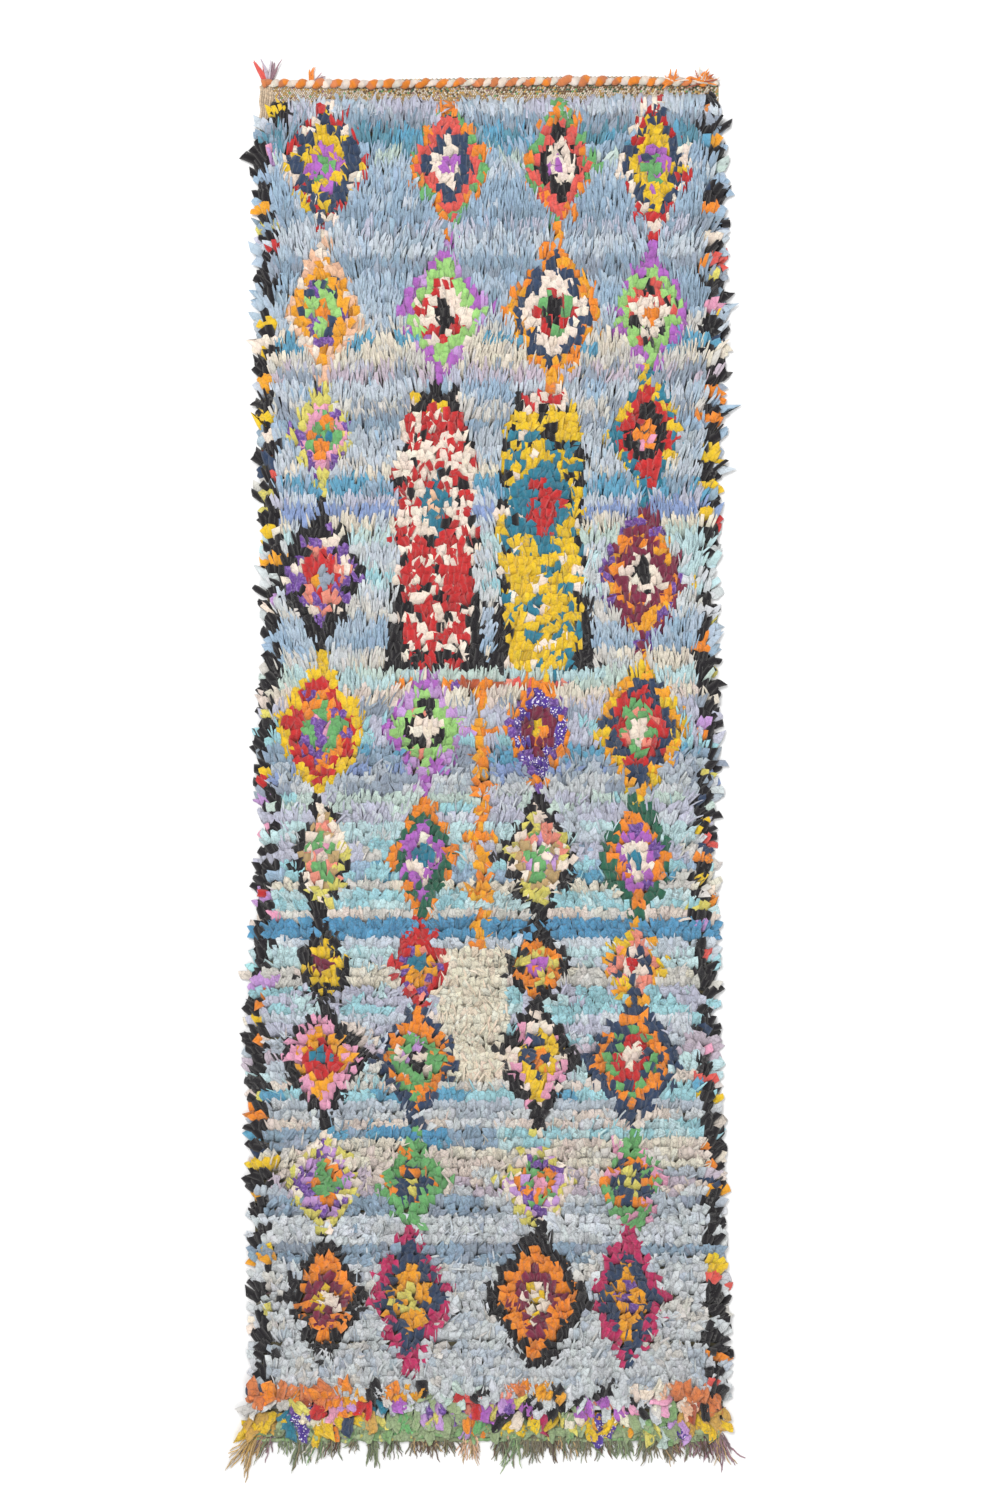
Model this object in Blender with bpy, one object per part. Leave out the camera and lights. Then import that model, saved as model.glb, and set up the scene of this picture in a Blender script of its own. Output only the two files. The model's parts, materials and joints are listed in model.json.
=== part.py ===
"""Boucherouite rug: a long rag-pile rug, lying flat on the floor.

Metres. +X runs across the rug, +Y along it towards the heading, +Z up. The origin is on the floor,
under the middle of the whole rug with its locks, tufts and fringe.

The rug is knotted and woven in one go, so its pile is one solid slab. The flat heading band, the
twined cord on its edge, the loose warp ends and the fringed foot are solids of their own, a hair
apart from each other.
"""

import math
import random
from collections import namedtuple

import bmesh
import bpy
import numpy as np
from mathutils import Vector, noise

# How far the rug reaches
HALF_WIDTH = 0.528
HALF_LENGTH = 1.488
GAP = 0.0003
SHARP_ANGLE = math.radians(40)

# Pile slab
PILE_HEAD_Y = 1.388
PILE_FOOT_Y = -1.374
PILE_HEIGHT = 0.031
RIM_HEIGHT = 0.024
RIM_LUMPS = 0.2
BASE_HEIGHT = 0.009
CLUMP_SIZE = 0.075
CLUMP_RISE = 0.018
WAVE_SIZE = 0.42
WAVE_RISE = 0.005
SIDE_LOCKS = 64
LOCK_SHARE = 0.44
COLUMNS = 16
COLUMN_WANDER = 0.012
ROW_WANDER = 0.004

# The base's left and right walls along the rug, inside the locks
EdgeStation = namedtuple("EdgeStation", "y left right")
EDGE = (
    EdgeStation(PILE_FOOT_Y, -0.492, 0.494),
    EdgeStation(-1.254, -0.479, 0.494),
    EdgeStation(-1.024, -0.482, 0.488),
    EdgeStation(-0.794, -0.486, 0.480),
    EdgeStation(-0.564, -0.492, 0.468),
    EdgeStation(-0.334, -0.477, 0.471),
    EdgeStation(-0.125, -0.461, 0.459),
    EdgeStation(0.042, -0.476, 0.477),
    EdgeStation(0.251, -0.456, 0.467),
    EdgeStation(0.439, -0.458, 0.471),
    EdgeStation(0.669, -0.471, 0.480),
    EdgeStation(0.878, -0.472, 0.489),
    EdgeStation(1.087, -0.469, 0.484),
    EdgeStation(1.296, -0.478, 0.484),
    EdgeStation(PILE_HEAD_Y, -0.468, 0.474),
)

# A lock's sections from root to tip: the share of its length, and its width and height there
LockStep = namedtuple("LockStep", "along width height")
SIDE_LOCK = (LockStep(0.5, 0.86, 0.8), LockStep(1.0, 0.42, 0.36))
END_LOCK = (LockStep(0.12, 0.46, 0.9), LockStep(0.55, 0.36, 0.75), LockStep(1.0, 0.16, 0.35))
SIDE_LOCK_LENGTH = (0.014, 0.036)
HEAD_LOCK_LENGTH = (0.010, 0.022)
FOOT_LOCK_LENGTH = (0.018, 0.034)
LOCK_LEAN = 0.28
LOCK_FAN = 0.20
LOCK_FAN_SIZE = 0.11
SIDE_LOCK_TIP_HEIGHT = 0.008

# Heading band, and the cord on its outer edge
BAND_DEPTH = 0.052
BAND_THICKNESS = 0.003
BAND_CELLS = 24
HEADING_LEFT = -0.474
HEADING_RIGHT = 0.486
HEADING_WAVE = 0.003
HEADING_WAVE_LENGTH = 1.1
CORD_RADIUS = 0.0065
CORD_WAIST = 0.0046
CORD_TURNS = 26
CORD_STEPS = 6
CORD_SIDES = 6

# Fringe at the foot
FRINGE_LEFT = -0.492
FRINGE_RIGHT = 0.494
FRINGE_STRANDS = 60
FRINGE_STRIP_DEPTH = 0.018
FRINGE_THICKNESS = 0.0042
FRINGE_LENGTH = (0.046, 0.078)
STRAND_SHARE = 0.62
STRAND_WANDER = 0.010
STRAND_WANDER_SIZE = 4.8
STRAND_JITTER = 0.0015
STRAND_BEND = 1.5
CORNER_STRANDS_ACROSS = (-0.022, -0.016)
STRAND_STEPS = (LockStep(0.4, 0.95, 0.95), LockStep(0.75, 0.8, 0.85), LockStep(1.0, 0.42, 0.5))

# Loose warp ends beyond the cord: place, how many, how long and which way they lie
Tassel = namedtuple("Tassel", "name x width strands length slant color")
TASSEL_STRIP_DEPTH = 0.006
TASSEL_SHRINK = 0.12
TASSELS = (
    Tassel("heading_tassel_left", -0.459, 0.024, 2, 0.0, -0.30, (0.55, 0.40, 0.44)),
    Tassel("heading_stub", -0.368, 0.019, 1, 0.012, 0.10, (0.72, 0.36, 0.14)),
    Tassel("heading_tassel_inner", 0.388, 0.028, 2, 0.020, 0.15, (0.72, 0.36, 0.14)),
    Tassel("heading_tassel_right", 0.449, 0.042, 3, 0.024, -0.10, (0.72, 0.36, 0.14)),
)


def make_material(name, color, roughness=0.9):
    """A plain matte cloth colour."""
    material = bpy.data.materials.new(name)
    material.use_nodes = True
    shader = material.node_tree.nodes["Principled BSDF"]
    shader.inputs["Base Color"].default_value = (*color, 1.0)
    shader.inputs["Roughness"].default_value = roughness
    shader.inputs["Metallic"].default_value = 0.0
    return material


def finish_piece(name, bm, color):
    """Turn a closed bmesh into a named object with its own material."""
    bmesh.ops.recalc_face_normals(bm, faces=bm.faces)
    mesh = bpy.data.meshes.new(name)
    bm.to_mesh(mesh)
    bm.free()
    mesh.materials.append(make_material(name, color))
    mesh.shade_smooth()
    mesh.set_sharp_from_angle(angle=SHARP_ANGLE)
    piece = bpy.data.objects.new(name, mesh)
    bpy.context.collection.objects.link(piece)
    return piece


def base_walls(y):
    """Left and right walls of the pile's base at a distance along the rug."""
    along = [station.y for station in EDGE]
    left = np.interp(y, along, [station.left for station in EDGE])
    right = np.interp(y, along, [station.right for station in EDGE])
    return float(left), float(right)


def pile_height(x, y):
    """Height of the tufts at a place: clumps of rag, over broad waves of thick and thin pile."""
    clumps = noise.noise(Vector((x, y, 0.0)) / CLUMP_SIZE)
    waves = noise.noise(Vector((x, y, 0.0)) / WAVE_SIZE)
    return PILE_HEIGHT + CLUMP_RISE * clumps + WAVE_RISE * waves


def row_lines():
    """Where the slab's rows lie: a wide one between locks, then a narrow one that carries a lock."""
    pitch = (PILE_HEAD_Y - PILE_FOOT_Y) / SIDE_LOCKS
    lines = [PILE_FOOT_Y]
    for lock in range(SIDE_LOCKS):
        foot_side = PILE_FOOT_Y + lock * pitch
        lines.append(foot_side + pitch * (1.0 - LOCK_SHARE))
        lines.append(foot_side + pitch)
    return lines


def draw_out(bm, face, aim, steps, tip_z):
    """Draw a wall face out into a tapering lock that bends towards its tip's height."""
    root = face.calc_center_median()
    corners = {index: vert.co - root for index, vert in enumerate(face.verts)}
    for step in steps:
        (face,) = bmesh.ops.extrude_discrete_faces(bm, faces=[face])["faces"]
        centre = root + aim * step.along
        centre.z = root.z + (tip_z - root.z) * step.along
        for index, vert in enumerate(face.verts):
            corner = corners[index]
            vert.co = centre + Vector((corner.x * step.width, corner.y * step.width, corner.z * step.height))


def make_shag_pile():
    """The rug's pile: a slab with a flat underside, a lumpy top and rag locks round its rim."""
    rng = random.Random(11)
    bm = bmesh.new()
    lines = row_lines()
    last_row = len(lines) - 1
    top = {}
    for row, line in enumerate(lines):
        left, right = base_walls(line)
        for column in range(COLUMNS + 1):
            x = left + (right - left) * column / COLUMNS
            y = line
            z = RIM_HEIGHT + RIM_LUMPS * (pile_height(x, y) - PILE_HEIGHT)
            if 0 < row < last_row and 0 < column < COLUMNS:
                x += rng.uniform(-COLUMN_WANDER, COLUMN_WANDER)
                y += rng.uniform(-ROW_WANDER, ROW_WANDER)
                z = pile_height(x, y)
            top[row, column] = bm.verts.new((x, y, z))
    for row in range(last_row):
        for column in range(COLUMNS):
            bm.faces.new((top[row, column], top[row, column + 1],
                          top[row + 1, column + 1], top[row + 1, column]))

    foot = [(0, column) for column in range(COLUMNS)]
    right_side = [(row, COLUMNS) for row in range(last_row)]
    head = [(last_row, column) for column in range(COLUMNS, 0, -1)]
    left_side = [(row, 0) for row in range(last_row, 0, -1)]
    rim = foot + right_side + head + left_side
    base = {key: bm.verts.new((top[key].co.x, top[key].co.y, BASE_HEIGHT)) for key in rim}
    floor = {key: bm.verts.new((top[key].co.x, top[key].co.y, 0.0)) for key in rim}
    walls = []
    for key, following in zip(rim, rim[1:] + rim[:1]):
        bm.faces.new((floor[key], floor[following], base[following], base[key]))
        wall = bm.faces.new((base[key], base[following], top[following], top[key]))
        walls.append((key, following, wall))
    for row in range(1, last_row - 1):
        bm.faces.new((floor[row, 0], floor[row + 1, 0], floor[row + 1, COLUMNS], floor[row, COLUMNS]))
    for edge_row, inner_row in ((0, 1), (last_row, last_row - 1)):
        middle = COLUMNS // 2
        for column in range(COLUMNS):
            inner = floor[inner_row, 0 if column < middle else COLUMNS]
            bm.faces.new((floor[edge_row, column], floor[edge_row, column + 1], inner))
        bm.faces.new((floor[edge_row, middle], floor[inner_row, 0], floor[inner_row, COLUMNS]))

    for key, following, wall in walls:
        middle = wall.calc_center_median()
        row = min(key[0], following[0])
        if key[1] == following[1]:
            if row % 2 == 0:
                continue
            side = 1.0 if key[1] == COLUMNS else -1.0
            length = rng.uniform(*SIDE_LOCK_LENGTH)
            if row == 1:
                length = HALF_WIDTH
            length = min(length, HALF_WIDTH - abs(middle.x))
            lean = LOCK_LEAN + LOCK_FAN * noise.noise(Vector((side, middle.y / LOCK_FAN_SIZE, 0.0)))
            if row == 1:
                lean = 0.0
            draw_out(bm, wall, Vector((side * length, lean * length, 0.0)), SIDE_LOCK, SIDE_LOCK_TIP_HEIGHT)
        else:
            outward = 1.0 if key[0] == last_row else -1.0
            length = rng.uniform(*(HEAD_LOCK_LENGTH if outward > 0 else FOOT_LOCK_LENGTH))
            drift = LOCK_FAN * noise.noise(Vector((middle.x / LOCK_FAN_SIZE, outward, 0.0)))
            draw_out(bm, wall, Vector((drift * length, outward * length, 0.0)), END_LOCK, middle.z)
    return finish_piece("shag_pile", bm, (0.50, 0.62, 0.72))


def heading_line(x):
    """How far the band's outer edge strays from straight."""
    return HEADING_WAVE * math.sin(2.0 * math.pi * x / HEADING_WAVE_LENGTH)


def make_heading_band():
    """Flat woven band across the heading end."""
    bm = bmesh.new()
    inner_y = PILE_HEAD_Y + GAP
    sections = []
    for cell in range(BAND_CELLS + 1):
        x = HEADING_LEFT + (HEADING_RIGHT - HEADING_LEFT) * cell / BAND_CELLS
        outer_y = PILE_HEAD_Y + BAND_DEPTH + heading_line(x)
        sections.append([bm.verts.new(point) for point in (
            (x, inner_y, 0.0), (x, outer_y, 0.0), (x, outer_y, BAND_THICKNESS), (x, inner_y, BAND_THICKNESS))])
    bridge_sections(bm, sections)
    return finish_piece("heading_band", bm, (0.62, 0.52, 0.36))


def bridge_sections(bm, sections):
    """Skin a row of like sections into one closed body."""
    for section, following in zip(sections, sections[1:]):
        for corner in range(len(section)):
            beside = (corner + 1) % len(section)
            bm.faces.new((section[corner], section[beside], following[beside], following[corner]))
    bm.faces.new(sections[0])
    bm.faces.new(sections[-1])


def cord_reach():
    """Half the cord's width across the rug's plane, as its six-sided section gives it."""
    return CORD_RADIUS * math.cos(math.pi / CORD_SIDES)


def make_heading_cord():
    """Two-ply cord along the band's outer edge, with the plies' twist raised."""
    bm = bmesh.new()
    count = CORD_TURNS * CORD_STEPS
    sections = []
    for ring in range(count + 1):
        x = HEADING_LEFT + (HEADING_RIGHT - HEADING_LEFT) * ring / count
        y = PILE_HEAD_Y + BAND_DEPTH + heading_line(x) + GAP + cord_reach()
        twist = 2.0 * math.pi * ring / CORD_STEPS
        section = []
        for side in range(CORD_SIDES):
            angle = 2.0 * math.pi * side / CORD_SIDES + math.pi / 6.0
            ply = 0.5 + 0.5 * math.cos(2.0 * (angle - twist) - math.pi / 3.0)
            radius = CORD_WAIST + (CORD_RADIUS - CORD_WAIST) * ply
            section.append(bm.verts.new((x, y + radius * math.cos(angle),
                                         CORD_RADIUS + radius * math.sin(angle))))
        sections.append(section)
    bridge_sections(bm, sections)
    return finish_piece("heading_cord", bm, (0.78, 0.48, 0.20))


def make_strip_with_strands(name, left, right, root_y, outward, depth, aims, color):
    """A narrow strip with strands drawn out of its outer edge, all level on the floor.

    aims holds one (across, along) reach for each strand, along being measured from the strip.
    """
    bm = bmesh.new()
    pitch = (right - left) / len(aims)
    margin = 0.5 * pitch * (1.0 - STRAND_SHARE)
    lines = [left]
    for strand in range(len(aims)):
        lines.append(left + strand * pitch + margin)
        lines.append(left + (strand + 1) * pitch - margin)
    lines.append(right)
    edge_y = root_y + outward * depth
    sections = [[bm.verts.new(point) for point in (
        (x, root_y, 0.0), (x, edge_y, 0.0), (x, edge_y, FRINGE_THICKNESS), (x, root_y, FRINGE_THICKNESS))]
        for x in lines]
    bridge_sections(bm, sections)
    for strand, (across, along) in enumerate(aims):
        here = sections[2 * strand + 1]
        beyond = sections[2 * strand + 2]
        face = bm.faces.get((here[1], here[2], beyond[2], beyond[1]))
        root = face.calc_center_median()
        corners = {index: vert.co.copy() for index, vert in enumerate(face.verts)}
        for step in STRAND_STEPS:
            (face,) = bmesh.ops.extrude_discrete_faces(bm, faces=[face])["faces"]
            for index, vert in enumerate(face.verts):
                corner = corners[index]
                vert.co = (root.x + (corner.x - root.x) * step.width + across * step.along ** STRAND_BEND,
                           root.y + outward * along * step.along,
                           corner.z * step.height)
    return finish_piece(name, bm, color)


def make_foot_fringe():
    """Strip of the last wefts across the foot, with the knotted warp ends fused into it."""
    rng = random.Random(23)
    root_y = PILE_FOOT_Y - GAP
    longest = HALF_LENGTH - abs(root_y) - FRINGE_STRIP_DEPTH
    aims = []
    for strand in range(FRINGE_STRANDS):
        across = STRAND_WANDER * noise.noise(Vector((strand / STRAND_WANDER_SIZE, 0.0, 0.0)))
        across += rng.uniform(-STRAND_JITTER, STRAND_JITTER)
        aims.append((across, rng.uniform(*FRINGE_LENGTH)))
    aims[0] = (CORNER_STRANDS_ACROSS[0], longest)
    aims[1] = (CORNER_STRANDS_ACROSS[1], FRINGE_LENGTH[1])
    return make_strip_with_strands("foot_fringe", FRINGE_LEFT, FRINGE_RIGHT, root_y, -1.0,
                                   FRINGE_STRIP_DEPTH, aims, (0.36, 0.33, 0.22))


def make_heading_tassels():
    """The few loose warp ends that stand out beyond the heading's cord."""
    for tassel in TASSELS:
        left = tassel.x - tassel.width / 2
        right = tassel.x + tassel.width / 2
        stray = max(heading_line(left), heading_line(tassel.x), heading_line(right))
        root_y = PILE_HEAD_Y + BAND_DEPTH + stray + 2.0 * GAP + 2.0 * cord_reach()
        longest = HALF_LENGTH - root_y - TASSEL_STRIP_DEPTH
        reach = tassel.length or longest
        lengths = [reach * (1.0 - TASSEL_SHRINK * strand) for strand in range(tassel.strands)]
        aims = [(tassel.slant * reach, length) for length in lengths]
        make_strip_with_strands(tassel.name, left, right, root_y, 1.0, TASSEL_STRIP_DEPTH, aims, tassel.color)


def main():
    for old in list(bpy.data.objects):
        bpy.data.objects.remove(old, do_unlink=True)
    make_shag_pile()
    make_heading_band()
    make_heading_cord()
    make_heading_tassels()
    make_foot_fringe()


main()
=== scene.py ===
"""Looks of a boucherouite rug: thousands of knotted rag ends on a woven ground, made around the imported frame.

Metres, +X across the rug, +Y along it to the heading, +Z up, as in the frame.
"""

import json
import logging
import math
from dataclasses import dataclass, field
from enum import Enum, IntEnum
from functools import cached_property

import bpy
import numpy as np
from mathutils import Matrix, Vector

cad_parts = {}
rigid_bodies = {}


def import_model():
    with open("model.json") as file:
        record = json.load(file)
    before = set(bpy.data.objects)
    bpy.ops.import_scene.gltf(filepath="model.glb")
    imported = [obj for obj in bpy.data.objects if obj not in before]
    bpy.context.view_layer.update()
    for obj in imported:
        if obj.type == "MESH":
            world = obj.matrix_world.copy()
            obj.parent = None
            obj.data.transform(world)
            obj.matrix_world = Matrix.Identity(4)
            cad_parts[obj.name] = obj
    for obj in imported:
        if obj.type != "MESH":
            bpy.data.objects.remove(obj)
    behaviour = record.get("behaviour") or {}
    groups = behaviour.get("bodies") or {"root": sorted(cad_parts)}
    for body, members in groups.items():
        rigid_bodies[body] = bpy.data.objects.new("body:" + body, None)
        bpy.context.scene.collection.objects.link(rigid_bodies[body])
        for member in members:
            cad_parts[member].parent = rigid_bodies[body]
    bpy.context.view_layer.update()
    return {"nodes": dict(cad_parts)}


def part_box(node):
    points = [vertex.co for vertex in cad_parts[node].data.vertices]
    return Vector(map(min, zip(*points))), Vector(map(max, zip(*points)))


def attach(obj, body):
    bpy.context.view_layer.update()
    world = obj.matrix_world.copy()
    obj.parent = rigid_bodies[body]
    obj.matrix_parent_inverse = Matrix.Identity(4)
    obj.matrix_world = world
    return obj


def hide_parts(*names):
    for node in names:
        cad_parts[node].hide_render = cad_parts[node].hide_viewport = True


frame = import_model()

log = logging.getLogger("boucherouite")

BODY = "root"
Array = np.ndarray

# The photograph's frame, laid over the rug: its pixels, their real size, and the pixel over the rug's middle
IMAGE_WIDTH_PX = 1000
IMAGE_HEIGHT_PX = 1500
METRES_PER_PX = 0.00209
RUG_MIDDLE_PX = (487.0, 770.0)

# One knot of the pile
ROW_PITCH = 0.0200
KNOT_PITCH = 0.0118


class Print(IntEnum):
    """How a rag's cloth is printed."""

    PLAIN = 0
    HEATHER = 1
    DOTS = 2
    FLOWERS = 3


@dataclass(frozen=True)
class RagCloth:
    """One worn-out cloth that the maker cut into rags."""

    colour: str
    second: str
    kind: Print = Print.HEATHER


RAGS: dict[str, RagCloth] = {
    "sky": RagCloth("#A6BDD1", "#90ADC7"),
    "pale_blue": RagCloth("#B8C8D6", "#A5B9CC"),
    "ice": RagCloth("#CCD4DC", "#BAC5D1"),
    "white_blue": RagCloth("#DADFE4", "#C7D0D9"),
    "lavender": RagCloth("#C6C7D6", "#B5B7CA"),
    "periwinkle": RagCloth("#93A7D0", "#8096C4"),
    "steel": RagCloth("#97ACBE", "#819AB0"),
    "slate": RagCloth("#9DA8B6", "#8996A7"),
    "grey_blue": RagCloth("#BEC7CF", "#AAB5C1"),
    "turquoise": RagCloth("#6BA9C6", "#5699BA"),
    "teal_blue": RagCloth("#6496A8", "#50869B"),
    "strong_blue": RagCloth("#5C9BC0", "#4A8BB4"),
    "aqua": RagCloth("#A9D4DB", "#93C8D1"),
    "pale_aqua": RagCloth("#C6DEE0", "#B2D2D6"),
    "mint": RagCloth("#C9D9D1", "#B8CCC3"),
    "lilac_grey": RagCloth("#CCBFCA", "#BAACBA"),
    "cream": RagCloth("#E8E0D0", "#DACFBB"),
    "oat": RagCloth("#D9D6D0", "#C8C4BC"),
    "peach_oat": RagCloth("#E4D6CC", "#D5C4B8"),
    "silver": RagCloth("#D4D8DA", "#C3C8CB"),
    "blanket": RagCloth("#FCE8D3", "#F2D9C0"),
    "black": RagCloth("#1D1A1E", "#2C282C", Print.PLAIN),
    "navy": RagCloth("#32435F", "#28364F", Print.PLAIN),
    "red": RagCloth("#C32D2F", "#A82428", Print.PLAIN),
    "orange": RagCloth("#EE8A2C", "#DB7420", Print.PLAIN),
    "marigold": RagCloth("#EEA32A", "#DC8D1E", Print.PLAIN),
    "yellow": RagCloth("#E8C02A", "#D6A81E", Print.PLAIN),
    "lemon": RagCloth("#E2D873", "#CFC258"),
    "leaf": RagCloth("#74B472", "#5C9E5C"),
    "fern": RagCloth("#88AC76", "#749862"),
    "lime": RagCloth("#9CCF78", "#86BF62", Print.PLAIN),
    "sage": RagCloth("#A3B48B", "#8CA073"),
    "bottle": RagCloth("#2E6650", "#245541", Print.PLAIN),
    "teal": RagCloth("#317C94", "#276A80", Print.PLAIN),
    "purple": RagCloth("#6A4494", "#8D6BB4", Print.FLOWERS),
    "violet_print": RagCloth("#54389A", "#E6E0F0", Print.DOTS),
    "orchid": RagCloth("#B066BE", "#9A52AC", Print.PLAIN),
    "lilac": RagCloth("#CBA2D8", "#B98BCA"),
    "crimson": RagCloth("#BE3062", "#A52552", Print.PLAIN),
    "plum": RagCloth("#6E2038", "#8C3550"),
    "pink": RagCloth("#E6A0BC", "#D68CAC", Print.PLAIN),
    "salmon": RagCloth("#EA8F7C", "#DA7A68", Print.PLAIN),
    "coral": RagCloth("#DE5A52", "#CC4A44", Print.PLAIN),
    "peach": RagCloth("#EEC2A4", "#E0AE8C"),
    "bone": RagCloth("#F0DFCF", "#E2CDBA", Print.PLAIN),
    "brown": RagCloth("#6E4E38", "#4E3728"),
    "tan": RagCloth("#C6A878", "#B29262"),
    "rust": RagCloth("#B65A38", "#9E4A2E"),
    "ember": RagCloth("#DC8450", "#C8703E"),
    "olive": RagCloth("#8F866A", "#776E54"),
    "moss": RagCloth("#86926F", "#6E7A5A"),
    "mauve": RagCloth("#A8848E", "#936E7A"),
    "gold": RagCloth("#D6AC5A", "#C29846"),
}
RAG_NAMES = tuple(RAGS)
RAG_NUMBER = {name: number for number, name in enumerate(RAG_NAMES)}


def rag_numbers(names: str) -> Array:
    """Numbers of the rags named in a list parted by | or spaces."""
    return np.array([RAG_NUMBER[name] for name in names.replace("|", " ").split()])


def linear_colour(code: str) -> tuple[float, float, float]:
    """Turn an sRGB hex code into linear light.

    Args:
        code: A code such as "#A6C4E4".

    Returns:
        Red, green and blue from 0 to 1.
    """
    shares = [int(code[i:i + 2], 16) / 255.0 for i in (1, 3, 5)]
    return tuple(s / 12.92 if s <= 0.04045 else ((s + 0.055) / 1.055) ** 2.4 for s in shares)


RAG_COLOURS = np.array([linear_colour(RAGS[name].colour) for name in RAG_NAMES])
RAG_SECONDS = np.array([linear_colour(RAGS[name].second) for name in RAG_NAMES])
RAG_KINDS = np.array([float(RAGS[name].kind) for name in RAG_NAMES])
# A colour attribute holds 0 to 1, so a print's number is stored as a share of this
KIND_SCALE = 8.0


@dataclass
class Drift:
    """Smooth seeded noise over the rug's plane, from -1 to 1."""

    seed: int
    size: float
    cells: int = 96
    table: Array = field(init=False)

    def __post_init__(self) -> None:
        """Draw the lattice that the noise runs through."""
        self.table = np.random.default_rng(self.seed).uniform(-1.0, 1.0, (self.cells, self.cells))

    def at(self, x: Array, y: Array) -> Array:
        """Read the noise.

        Args:
            x: Places across the rug.
            y: Places along the rug.

        Returns:
            One value for each place.
        """
        u, v = np.broadcast_arrays(np.asarray(x, float) / self.size, np.asarray(y, float) / self.size)
        i, j = np.floor(u).astype(int), np.floor(v).astype(int)
        s, t = u - i, v - j
        s, t = s * s * (3 - 2 * s), t * t * (3 - 2 * t)
        i, j, right, above = i % self.cells, j % self.cells, (i + 1) % self.cells, (j + 1) % self.cells
        low = self.table[i, j] * (1 - s) + self.table[right, j] * s
        high = self.table[i, above] * (1 - s) + self.table[right, above] * s
        return low * (1 - t) + high * t


@dataclass
class Outline:
    """The weave's edges, read from the frame's solid and let out a little, as the selvedges bulge."""

    let_out: tuple[float, float] = (0.004, 0.001)
    y: Array = field(init=False)
    left: Array = field(init=False)
    right: Array = field(init=False)

    def __post_init__(self) -> None:
        """Measure the solid's flat underside, level by level."""
        mesh = frame["nodes"]["shag_pile"].data
        points = np.empty(len(mesh.vertices) * 3)
        mesh.vertices.foreach_get("co", points)
        points = points.reshape(-1, 3)
        under = points[points[:, 2] < 0.0004]
        level = np.round(under[:, 1], 4)
        self.y = np.unique(level)
        self.left = np.array([under[level == y, 0].min() for y in self.y]) - self.let_out[0]
        self.right = np.array([under[level == y, 0].max() for y in self.y]) + self.let_out[1]

    @property
    def foot(self) -> float:
        """Where the pile's base ends at the foot."""
        return float(self.y[0])

    @property
    def head(self) -> float:
        """Where the pile's base ends at the heading."""
        return float(self.y[-1])

    def walls(self, y: Array) -> tuple[Array, Array]:
        """Left and right walls.

        Args:
            y: Places along the rug.

        Returns:
            The walls' x at each place.
        """
        return np.interp(y, self.y, self.left), np.interp(y, self.y, self.right)


@dataclass(frozen=True)
class Stripe:
    """A stripe of the ground: how deep it is, and its rags; right is for its right part, if that differs."""

    depth: float
    rags: str
    right: str = ""


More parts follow.
